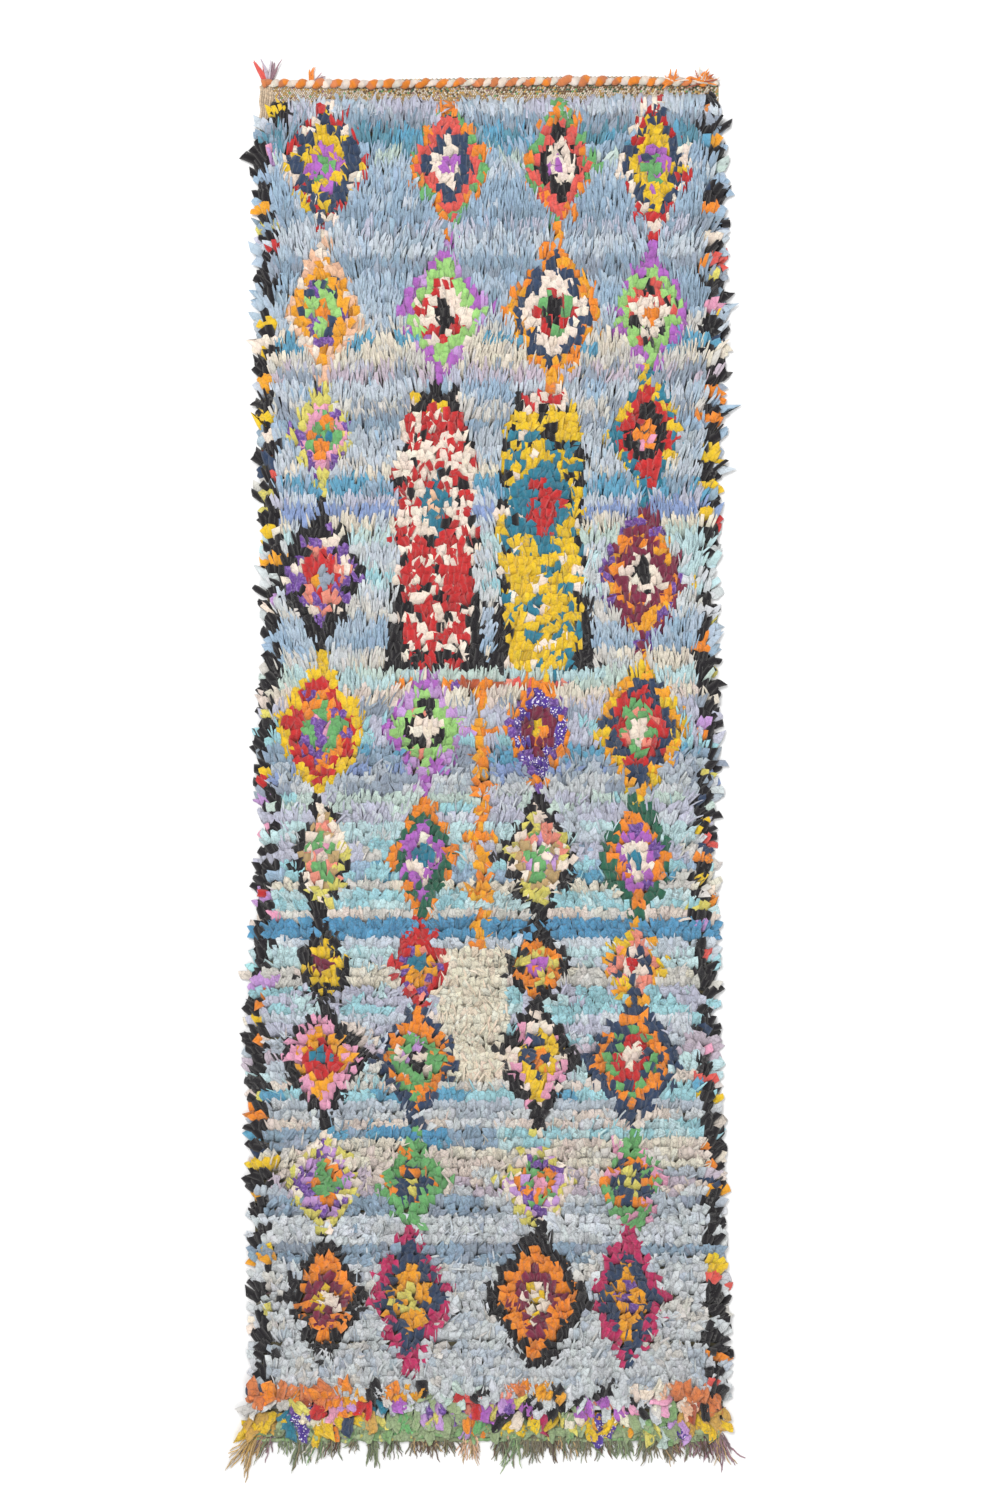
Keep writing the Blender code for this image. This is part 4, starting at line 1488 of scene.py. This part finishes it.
FOOT_ROWS = (
    FootRow(0.002, 0.004, 0.030, math.pi, 2,
            "gold sage sage moss sage sage fern sage sage sage moss sage fern sage sage sage moss sage sage fern sage "
            "sage peach sage sage moss sage sage fern moss sage sage tan sage sage moss sage fern sage sage moss gold"),
    FootRow(0.010, 0.005, 0.040, math.pi, 2,
            "yellow yellow gold teal violet_print sage yellow orange navy fern sage sage fern sage leaf sage sage fern "
            "sage sage lilac orange fern sage sage yellow sage crimson sage lemon sage sage yellow violet_print yellow "
            "sage marigold sage lemon mint sage violet_print lilac gold yellow"),
    FootRow(0.028, 0.009, 0.040, math.pi, 2,
            "gold yellow yellow teal violet_print blanket blanket yellow orange navy yellow gold lemon sage leaf fern "
            "sage lilac lemon sage purple orange leaf orchid lilac black bone yellow crimson yellow lemon bone sage "
            "marigold violet_print yellow blanket sage mint fern violet_print lilac gold yellow gold gold"),
    FootRow(0.050, 0.012, 0.036, math.pi, 2,
            "oat silver oat lemon purple violet_print red orange pink lilac marigold red teal silver orchid sage sage "
            "silver purple lilac sage salmon red orchid lemon lilac purple orchid black silver silver black sage "
            "orchid silver salmon silver orchid pink black silver oat pink fern peach rust black ember"),
    FootRow(0.064, 0.014, 0.024, math.pi, 2,
            "ember orange ember orange rust ember salmon orange marigold silver black oat marigold silver silver sage "
            "silver mint red coral silver orchid silver lemon black silver silver silver black silver orchid silver "
            "silver black silver bone oat bone bone ember ember"),
    FootRow(0.056, 0.011, 0.036, 0.0, 3,
            "ember orange ember orange ember orange ember orange marigold silver black orange marigold marigold black "
            "silver silver mint silver black silver salmon ember orange marigold marigold black silver silver black "
            "black silver bone bone bone peach ember ember ember black"),
)


@dataclass
class FootRags:
    """Big crumpled rags across the foot, rows that hang down it under a row that lies up the rug."""

    outline: Outline
    cloths: Cloths
    seed: int = 57

    def row(self, kind: FootRow, number: int) -> CrumpledRags:
        """Lay one row of big rags, beside each other in the order of their names.

        Args:
            kind: The row's place, lie and rags.
            number: The row's number, from the lowest.

        Returns:
            The row's rags.
        """
        rng = np.random.default_rng(self.seed + number)
        y = self.outline.foot + kind.up
        left, right = self.outline.walls(y)
        listed = rag_numbers(kind.rags)
        count = len(listed) * kind.copies
        x = left + 0.004 + (right - left - 0.012) * (np.arange(count) + 0.5) / count + rng.normal(0.0, 0.005, count)
        fan = (0.7 * ((x > right - 0.05).astype(float) - (x < left + 0.05))) * (1.0 if kind.facing == 0.0 else -1.0)
        return CrumpledRags(
            root=np.stack([x, y + rng.normal(0.0, 0.006, count), kind.height + rng.uniform(-0.002, 0.003, count)], -1),
            facing=kind.facing + fan + rng.normal(0.0, 0.50, count),
            length=kind.length * rng.uniform(0.70, 1.20, count) * np.where(x < left + 0.02, 1.3, 1.0),
            width=rng.uniform(0.017, 0.032, count),
            rise=rng.uniform(0.55, 1.05, count) + (0.30 if kind.facing == 0.0 else 0.0),
            fall=rng.uniform(-0.65, -0.05, count), turn=rng.normal(0.0, 0.50, count),
            twist=rng.normal(0.0, 0.25, count), curl=rng.normal(0.0, 0.40, count), tip=rng.uniform(0.65, 1.2, count),
            skew=rng.normal(0.0, 0.25, count), ridge=rng.uniform(0.05, 0.20, count), crumple=np.full(count, 0.8),
            rag=listed[np.arange(count) // kind.copies])

    def build(self) -> bpy.types.Object:
        """Lay the rows, the lowest one first."""
        rows = [self.row(kind, number) for number, kind in enumerate(FOOT_ROWS)]
        piece = CrumpledRags.joined(rows).build("foot_rags", self.cloths.rag, self.seed)
        return settle(piece)


@dataclass(frozen=True)
class Tassel:
    """A bunch of warp ends at the foot: its place, half its width, how far it reaches, its slant and its yarns."""

    x: float
    half_width: float
    reach: float
    slant: float
    rags: str


TASSELS = (
    Tassel(-0.486, 0.009, 0.104, 0.44, "gold|tan|gold"), Tassel(-0.462, 0.013, 0.060, 0.38, "tan|brown|moss|mauve"),
    Tassel(-0.425, 0.012, 0.044, 0.10, "moss|sage|moss"), Tassel(-0.388, 0.008, 0.074, 0.05, "moss|moss|olive"),
    Tassel(-0.350, 0.016, 0.060, 0.35, "sage|moss|bone|fern"), Tassel(-0.315, 0.012, 0.052, 0.40, "moss|brown|olive"),
    Tassel(-0.276, 0.006, 0.040, 0.20, "moss|olive"), Tassel(-0.240, 0.010, 0.064, -0.05, "moss|moss|olive"),
    Tassel(-0.200, 0.012, 0.054, 0.15, "moss|brown|moss"), Tassel(-0.147, 0.010, 0.050, 0.0, "brown|tan|olive"),
    Tassel(-0.118, 0.011, 0.056, -0.12, "tan|brown|olive"), Tassel(-0.085, 0.012, 0.046, -0.10, "olive|moss|brown"),
    Tassel(-0.036, 0.013, 0.060, 0.0, "peach|tan|peach"), Tassel(0.034, 0.016, 0.054, 0.15, "olive|moss|brown"),
    Tassel(0.060, 0.009, 0.078, 0.10, "sage|fern|olive"), Tassel(0.092, 0.016, 0.056, -0.10, "olive|moss|olive"),
    Tassel(0.128, 0.016, 0.060, 0.05, "olive|olive|brown"), Tassel(0.166, 0.015, 0.052, -0.10, "olive|moss|tan"),
    Tassel(0.205, 0.016, 0.060, -0.12, "olive|moss|olive"), Tassel(0.245, 0.014, 0.056, 0.0, "olive|brown|moss"),
    Tassel(0.284, 0.014, 0.052, -0.08, "moss|olive|sage"), Tassel(0.340, 0.015, 0.060, 0.05, "olive|moss|olive"),
    Tassel(0.380, 0.016, 0.062, -0.20, "olive|tan|brown"), Tassel(0.416, 0.015, 0.058, -0.15, "olive|moss|mauve"),
    Tassel(0.458, 0.013, 0.066, -0.15, "mauve|brown|mauve"), Tassel(0.487, 0.011, 0.078, -0.24, "mauve|mauve|tan"),
)


@dataclass
class FootFringe:
    """Twisted green wefts across the foot and the knotted warp ends beyond them.

    A twist is given by its distance down from the fringe's head, its height and its thickness.
    """

    outline: Outline
    cloths: Cloths
    twists: tuple[tuple[float, float, float], ...] = (
        (0.008, 0.0085, 0.0078), (0.020, 0.0072, 0.0066), (0.030, 0.0056, 0.0052))
    yarns_per_metre: float = 1500.0
    seed: int = 71

    def wefts(self) -> bpy.types.Object:
        """Crumpled twists of green rag that close the weave."""
        rng = np.random.default_rng(self.seed)
        _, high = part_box("foot_fringe")
        parts, tints = [], []
        count = 300
        for number, (down, height, thick) in enumerate(self.twists):
            y = high[1] - down
            x = np.linspace(self.outline.left[0] + 0.006, self.outline.right[0] - 0.006, count)
            wander = Drift(self.seed + number, 0.05)
            lumps = Drift(self.seed + 30 + number, 0.009)
            bent = y + 0.004 * wander.at(x, x * 0) + 0.002 * lumps.at(x, x * 0)
            path = np.stack([x, bent, np.full(count, height)], -1)
            radius = thick * (0.84 + 0.16 * wander.at(x, x * 0 + 0.5) + 0.22 * lumps.at(x, x * 0 + 0.5)
                              + rng.normal(0.0, 0.05, count))
            radius[0] *= 0.4
            radius[-1] *= 0.4
            parts.append(sweep(path, radius, 9, 0.85, 0.16))
            patch = Drift(self.seed + 9 + number, 0.03).at(x, x * 0)
            names = np.select([patch > 0.4, patch < -0.55, rng.random(count) < 0.08],
                              [RAG_NUMBER["fern"], RAG_NUMBER["moss"], RAG_NUMBER["lemon"]], RAG_NUMBER["sage"])
            tints.append(np.repeat(RAG_COLOURS[names] * rng.normal(0.95, 0.10, (count, 1)), 9, 0))
        points, quads, triangles = join_parts(parts)
        points[:, 2] = np.maximum(points[:, 2], 0.0006)
        mesh = mesh_from_arrays("foot_wefts", points, quads, triangles)
        add_colours(mesh, "rag", np.clip(np.concatenate(tints), 0.003, 0.9))
        mesh.materials.append(self.cloths.yarn("green_rag_twist", 3200.0))
        mesh.shade_smooth()
        return settle(new_object("foot_wefts", mesh))

    def warp_ends(self) -> bpy.types.Object:
        """Tassels of thin yarns that fan out over the floor."""
        rng = np.random.default_rng(self.seed + 2)
        _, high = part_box("foot_fringe")
        yarns = [int(2 * tassel.half_width * self.yarns_per_metre) for tassel in TASSELS]
        owner = np.repeat(np.arange(len(TASSELS)), yarns)
        count = len(owner)
        x, half, reach, slant = (np.array([getattr(tassel, name) for tassel in TASSELS])[owner]
                                 for name in ("x", "half_width", "reach", "slant"))
        spread = rng.uniform(-1.0, 1.0, count)
        names = [TASSELS[number].rags.split("|") for number in owner]
        rags = np.array([RAG_NUMBER[choice[int(pick * len(choice))]] for choice, pick in zip(names, rng.random(count))])
        root = np.stack([x + half * spread, np.full(count, high[1] - 0.020) + rng.normal(0.0, 0.003, count),
                         rng.uniform(0.002, 0.0085, count)], -1)
        ends = Yarns(
            root=root, facing=math.pi + slant - 0.22 * spread + rng.normal(0.0, 0.14, count),
            length=reach * rng.uniform(0.36, 1.22, count) * (1.0 - 0.30 * np.abs(spread)),
            width=rng.uniform(0.0018, 0.0036, count), rise=rng.uniform(-0.02, 0.30, count),
            fall=rng.uniform(-0.30, -0.04, count), turn=rng.normal(0.0, 0.30, count),
            twist=rng.uniform(-math.pi, math.pi, count), curl=rng.normal(0.0, 1.2, count),
            tip=rng.uniform(0.15, 0.6, count), skew=np.zeros(count), ridge=np.full(count, 0.75),
            crumple=rng.uniform(0.4, 0.9, count), rag=rags)
        piece = ends.build("warp_ends", self.cloths.rag, self.seed + 3)
        return settle(piece, ("foot_fringe",))


@dataclass(frozen=True)
class LooseEnds:
    """A bunch of warp ends past the cord: its node, rags, yarns and slot, and how the yarns lie."""

    node: str
    rags: str
    yarns: int
    slot: str
    share: tuple[float, ...] = (0.0,)
    slant: tuple[float, ...] = (0.05,)
    spread: float = 0.95
    stretch: float = 1.0
    height: float = 0.012
    back: float = 0.013


LOOSE_ENDS = (
    LooseEnds("heading_tassel_left", "coral|coral|lilac_grey|mauve", 18, "rose_yarn", (0.0, 1.0), (-0.75, 0.35), 0.14,
              1.35, 0.004, 0.006),
    LooseEnds("heading_stub", "orange|orange|orange|mauve", 8, "orange_yarn", (0.79, 0.80), (0.05, 0.95), 0.06, 1.7,
              0.004, 0.006),
    LooseEnds("heading_tassel_inner", "orange|orange|bone", 16, "orange_yarn"),
    LooseEnds("heading_tassel_right", "orange|cream|rust|orange|bone", 30, "orange_yarn"),
)


@dataclass
class Heading:
    """The flat woven band, its speckled stitches, and the twined cord on its wavy edge.

    A ply of the cord is given by its rags, its radius, and how thick it stays where it dips under the other.
    """

    cloths: Cloths
    wave: float = 0.003
    wave_length: float = 1.1
    stitch_length: float = 0.0048
    stitch_pitch: float = 0.0040
    turns: int = 26
    plies: tuple[tuple[str, float, float], ...] = (
        ("orange|orange|ember|orange", 0.0082, 0.74), ("bone|cream|bone|peach_oat", 0.0078, 0.62))
    seed: int = 83

    def band(self) -> bpy.types.Object:
        """The band's cloth: a thin sheet from a grid, with its edges as in the frame."""
        low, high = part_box("heading_band")
        select_none()
        bpy.ops.mesh.primitive_grid_add(x_subdivisions=60, y_subdivisions=4, size=1.0)
        sheet = bpy.context.active_object
        sheet.name = "heading_cloth"
        mesh = sheet.data
        points = np.empty(len(mesh.vertices) * 3)
        mesh.vertices.foreach_get("co", points)
        points = points.reshape(-1, 3)
        points[:, 0] = low[0] + (points[:, 0] + 0.5) * (high[0] - low[0])
        points[:, 1] = low[1] + (points[:, 1] + 0.5) * (self.edge(points[:, 0]) - low[1])
        points[:, 2] = 0.0022
        mesh.vertices.foreach_set("co", points.ravel())
        add_colours(mesh, "rag", np.tile(RAG_COLOURS[RAG_NUMBER["tan"]] * 0.85, (len(points), 1)))
        only(sheet)
        thick = sheet.modifiers.new("cloth", "SOLIDIFY")
        thick.thickness = 0.0022
        thick.offset = -1.0
        bpy.ops.object.modifier_apply(modifier=thick.name)
        sheet.data.materials.append(self.cloths.yarn("heading_weave"))
        return settle(sheet, ("heading_band",))

    def edge(self, x: Array) -> Array:
        """The band's outer edge at each place across."""
        _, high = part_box("heading_band")
        return high[1] - self.wave + self.wave * np.sin(2 * math.pi * x / self.wave_length)

    def flat_size(self) -> tuple[float, float]:
        """Length and mean depth of the band's cloth."""
        low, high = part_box("heading_band")
        return high[0] - low[0], high[1] - low[1] - self.wave

    def stitch_rags(self, x: Array, share: Array, rng: np.random.Generator) -> Array:
        """Choose the speckled stitches' rags, darker low in the band.

        Args:
            x: Places across the rug.
            share: How far up the band, from 0 to 1.
            rng: The heading's random draws.

        Returns:
            The rags' numbers.
        """
        names = rag_numbers("cream peach_oat tan gold leaf brown mauve bone oat bottle")
        light = names[rng.choice(10, len(x), p=[0.24, 0.18, 0.16, 0.15, 0.02, 0.02, 0.05, 0.14, 0.03, 0.01])]
        dark = names[rng.choice(10, len(x), p=[0.22, 0.08, 0.04, 0.14, 0.03, 0.24, 0.02, 0.11, 0.02, 0.10])]
        below = (1.0 - share) * 0.058
        darker = ((below < 0.018) & (x > -0.30)) | ((x > 0.06) & (below < 0.022))
        darkest = names[rng.choice(10, len(x), p=[0.18, 0.05, 0.02, 0.06, 0.02, 0.34, 0.01, 0.10, 0.02, 0.20])]
        rags = np.where(darker & (rng.random(len(x)) < 0.9), dark, light)
        rags = np.where((below < 0.016) & (x > 0.02), darkest, rags)
        rags[x < -0.452] = RAG_NUMBER["tan"]
        return rags

    def stitches(self) -> bpy.types.Object:
        """Little slanted stitches all over the band, each a closed bead."""
        rng = np.random.default_rng(self.seed)
        low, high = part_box("heading_band")
        columns = int((high[0] - low[0]) / self.stitch_length)
        rows = int((high[1] - low[1] + 0.006) / self.stitch_pitch)
        grid = np.stack(np.meshgrid(np.arange(columns), np.arange(rows)), -1).reshape(-1, 2)
        x = low[0] + (grid[:, 0] + 0.5 + 0.5 * (grid[:, 1] % 2)) * (high[0] - low[0]) / (columns + 0.5)
        depth = self.edge(x) - (low[1] - 0.006)
        share = (grid[:, 1] + 0.5) / rows
        y = low[1] - 0.006 + share * depth
        count = len(x)
        slant = 0.9 * np.where(x > 0.0, 1.0, np.where(grid[:, 1] % 2, 1.0, -1.0)) + rng.normal(0.0, 0.2, count)
        reach = 0.5 * self.stitch_length * rng.uniform(1.0, 1.4, count)
        thick = 0.0016 * rng.uniform(0.8, 1.25, count)
        along = np.stack([np.cos(slant), np.sin(slant), np.zeros(count)], -1)
        side = np.stack([-np.sin(slant), np.cos(slant), np.zeros(count)], -1)
        up = np.tile([0.0, 0.0, 1.0], (count, 1))
        middle = np.stack([x, y, 0.0026 + rng.uniform(0.0, 0.0008, count)], -1)
        rings = [middle - along * reach[:, None]]
        for end in (-0.45, 0.45):
            for part in range(4):
                angle = math.pi * part / 2
                rings.append(middle + along * (end * reach)[:, None] + side * (math.cos(angle) * thick)[:, None]
                             + up * (math.sin(angle) * thick * 0.8)[:, None])
        rings.append(middle + along * reach[:, None])
        points = np.stack(rings, 1)
        quads = np.array([[1 + k, 1 + (k + 1) % 4, 5 + (k + 1) % 4, 5 + k] for k in range(4)])
        tips = np.array([[0, 1 + (k + 1) % 4, 1 + k] for k in range(4)]
                        + [[9, 5 + k, 5 + (k + 1) % 4] for k in range(4)])
        start = (np.arange(count) * 10)[:, None, None]
        mesh = mesh_from_arrays("heading_stitches", points.reshape(-1, 3), (quads[None] + start).reshape(-1, 4),
                                (tips[None] + start).reshape(-1, 3))
        rags = self.stitch_rags(x, share, rng)
        shade = rng.normal(1.0, 0.12, (count, 1))
        add_colours(mesh, "rag", np.repeat(np.clip(RAG_COLOURS[rags] * shade, 0.003, 0.95), 10, 0))
        mesh.materials.append(self.cloths.yarn("stitch_yarn", 4200.0))
        mesh.shade_smooth()
        return settle(new_object("heading_stitches", mesh))

    def selvedge(self) -> bpy.types.Object:
        """Thick bare warps side by side at the band's left end."""
        low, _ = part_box("heading_band")
        parts, tints = [], []
        rng = np.random.default_rng(self.seed + 6)
        base = 0.6 * RAG_COLOURS[RAG_NUMBER["tan"]] + 0.4 * RAG_COLOURS[RAG_NUMBER["peach_oat"]]
        for number in range(6):
            y = np.linspace(low[1] - 0.024, self.edge(np.array([low[0]]))[0] - 0.004, 40)
            x = low[0] - 0.001 + 0.0048 * number + 0.0012 * np.sin(y * 160.0 + 0.4 * number)
            path = np.stack([x, y, np.full(40, 0.0040)], -1)
            parts.append(sweep(path, 0.0026 * (1.0 + 0.20 * np.sin(np.arange(40) * 2.6 + number)), 6))
            tints.append(np.repeat(base * rng.normal((1.0, 0.80)[number % 2], 0.14, (40, 1)), 6, 0))
        points, quads, triangles = join_parts(parts)
        mesh = mesh_from_arrays("heading_selvedge", points, quads, triangles)
        add_colours(mesh, "rag", np.clip(np.concatenate(tints), 0.01, 0.9))
        mesh.materials.append(self.cloths.yarn("selvedge_yarn"))
        mesh.shade_smooth()
        return settle(new_object("heading_selvedge", mesh))

    def cord(self) -> bpy.types.Object:
        """Two plies, orange and cream, twined along the band's edge."""
        low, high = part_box("heading_cord")
        count = self.turns * 14
        x = np.linspace(low[0] + 0.003, high[0] - 0.003, count)
        middle = self.edge(x) + 0.0022
        rng = np.random.default_rng(self.seed + 4)
        uneven, rough = Drift(self.seed + 2, 0.03), Drift(self.seed + 7, 0.009)
        parts, tints = [], []
        for ply, (names, fat, core) in enumerate(self.plies):
            turn = 2 * math.pi * self.turns * (x - low[0]) / (high[0] - low[0]) + math.pi * ply
            turn += 0.9 * uneven.at(x, x * 0)
            bump = rough.at(x, x * 0 + 0.2 * ply)
            path = np.stack([x, middle - 0.0035 * np.cos(turn) + 0.0016 * bump, 0.0076 + 0.0026 * np.sin(turn)], -1)
            swell = np.clip(core + 0.40 * np.sin(turn), 0.45, 1.0) * (1.0 + 0.16 * uneven.at(x, x * 0 + 0.3))
            swell *= 1.0 + 0.24 * rough.at(x, x * 0 + 0.5 + 0.2 * ply)
            parts.append(sweep(path, fat * swell, 10, 0.72, 0.12))
            rags = rag_numbers(names)
            wrap = ((turn + 1.5 * math.pi) // (2 * math.pi)).astype(int)
            cloth = RAG_COLOURS[rags[rng.integers(0, len(rags), wrap.max() + 1)][wrap]]
            shade = rng.normal(0.88, 0.08, wrap.max() + 1)[wrap][:, None] * rng.normal(1.0, 0.07, (count, 1))
            tints.append(np.repeat(cloth * shade, 10, 0))
        over = np.linspace(-0.18, 0.36, 240)
        rim = np.stack([over, self.edge(over) + 0.0108 + 0.0012 * np.sin(over * 700.0),
                        0.0060 + 0.0012 * np.cos(over * 700.0)], -1)
        parts.append(sweep(rim, np.full(240, 0.0010), 5))
        edging = rng.choice(rag_numbers("brown moss gold"), 240)
        tints.append(np.repeat(RAG_COLOURS[edging], 5, 0))
        points, quads, triangles = join_parts(parts)
        points[:, 2] = np.maximum(points[:, 2], 0.0003)
        mesh = mesh_from_arrays("twined_cord", points, quads, triangles)
        add_colours(mesh, "rag", np.concatenate(tints))
        mesh.materials.append(self.cloths.yarn("cord_yarn", 2400.0))
        mesh.shade_smooth()
        return settle(new_object("twined_cord", mesh), ("heading_cord",))

    def loose_ends(self) -> list[bpy.types.Object]:
        """Loose warp ends beyond the cord, one piece for each of the frame's tassels."""
        pieces = []
        for number, bunch in enumerate(LOOSE_ENDS):
            rng = np.random.default_rng(self.seed + 5 + number)
            low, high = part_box(bunch.node)
            rags = rag_numbers(bunch.rags)
            yarns = bunch.yarns
            share = (np.arange(yarns) + 0.5) / yarns
            ends = RagEnds(
                root=np.stack([low[0] + (high[0] - low[0]) * (0.2 + 0.6 * share), np.full(yarns, low[1] - bunch.back),
                               bunch.height + rng.uniform(0.0, 0.004, yarns)], -1),
                facing=np.interp(share, bunch.share, bunch.slant) + rng.normal(0.0, bunch.spread, yarns),
                length=bunch.stretch * (high[1] - low[1] + 0.004) * rng.uniform(0.55, 1.0, yarns),
                width=rng.uniform(0.0034, 0.0054, yarns), rise=rng.uniform(0.0, 0.35, yarns),
                fall=rng.uniform(-0.25, 0.0, yarns), turn=rng.normal(0.0, 0.3, yarns),
                twist=rng.uniform(-1.0, 1.0, yarns), curl=rng.normal(0.0, 1.0, yarns),
                tip=rng.uniform(0.15, 0.5, yarns),
                skew=np.zeros(yarns), crumple=np.full(yarns, 0.2), ridge=np.full(yarns, 0.55),
                rag=rags[(share * len(rags)).astype(int)])
            piece = ends.build("loose_" + bunch.node, self.cloths.rag, self.seed + 30 + number)
            pieces.append(settle(piece, (bunch.node,)))
        return pieces


@dataclass
class Studio:
    """A pale floor, soft light and the camera straight above."""

    height: float = 6.0
    pile_top: float = 0.03

    def build(self) -> None:
        """Set up the floor, the lights and the camera."""
        select_none()
        bpy.ops.mesh.primitive_plane_add(size=30.0, location=(0.0, 0.0, -0.0004))
        floor = bpy.context.active_object
        floor.name = "floor"
        paint = bpy.data.materials.new("floor_paint")
        paint.use_nodes = True
        shader = paint.node_tree.nodes["Principled BSDF"]
        shader.inputs["Base Color"].default_value = (0.93, 0.93, 0.93, 1.0)
        shader.inputs["Roughness"].default_value = 0.9
        floor.data.materials.append(paint)
        self.lamp("key_light", (-1.5, 2.0, 6.3), 2.4, 300.0)
        self.lamp("fill_light", (1.8, -1.6, 6.6), 3.2, 110.0)
        world = bpy.data.worlds.new("studio")
        bpy.context.scene.world = world
        world.use_nodes = True
        world.node_tree.nodes["Background"].inputs["Color"].default_value = (1.0, 1.0, 1.0, 1.0)
        world.node_tree.nodes["Background"].inputs["Strength"].default_value = 0.55
        self.camera()
        bpy.context.scene.view_settings.view_transform = "Standard"

    @staticmethod
    def lamp(name: str, place: tuple[float, float, float], size: float, power: float) -> None:
        """Add a soft lamp that faces the rug's middle.

        Args:
            name: The lamp's name.
            place: Where it hangs.
            size: Its side.
            power: Its power in watts.
        """
        bpy.ops.object.light_add(type="AREA", location=place)
        lamp = bpy.context.active_object
        lamp.name = name
        lamp.data.size = size
        lamp.data.energy = power
        distance = math.hypot(place[0], place[1])
        lamp.rotation_euler = (math.atan2(distance, place[2]), 0.0, math.atan2(place[1], place[0]) + math.pi / 2)

    def camera(self) -> None:
        """Hang the camera over the middle of the photograph's frame, facing straight down."""
        across = (IMAGE_WIDTH_PX / 2 - RUG_MIDDLE_PX[0]) * METRES_PER_PX
        along = (RUG_MIDDLE_PX[1] - IMAGE_HEIGHT_PX / 2) * METRES_PER_PX
        bpy.ops.object.camera_add(location=(across, along, self.height), rotation=(0.0, 0.0, 0.0))
        camera = bpy.context.active_object
        camera.name = "camera"
        view_length = IMAGE_HEIGHT_PX * METRES_PER_PX
        camera.data.lens = camera.data.sensor_width * (self.height - self.pile_top) / view_length
        bpy.context.scene.camera = camera


def main() -> None:
    """Build the rug's pieces in order and set the studio around them."""
    logging.basicConfig(level=logging.INFO, format="%(name)s: %(message)s")
    cloths = Cloths()
    outline = Outline()
    chart = RugChart(outline)
    weave = GroundWeave(outline, chart, cloths)
    sheet = weave.build()
    pile = RagPile(outline, chart, cloths).build()
    foot = FootRags(outline, cloths).build()
    fringe = FootFringe(outline, cloths)
    ends = [fringe.wefts(), fringe.warp_ends()]
    heading = Heading(cloths)
    band = heading.band()
    stitches, cord, selvedge = heading.stitches(), heading.cord(), heading.selvedge()
    loose = heading.loose_ends()
    Studio().build()


if __name__ == "__main__":
    main()
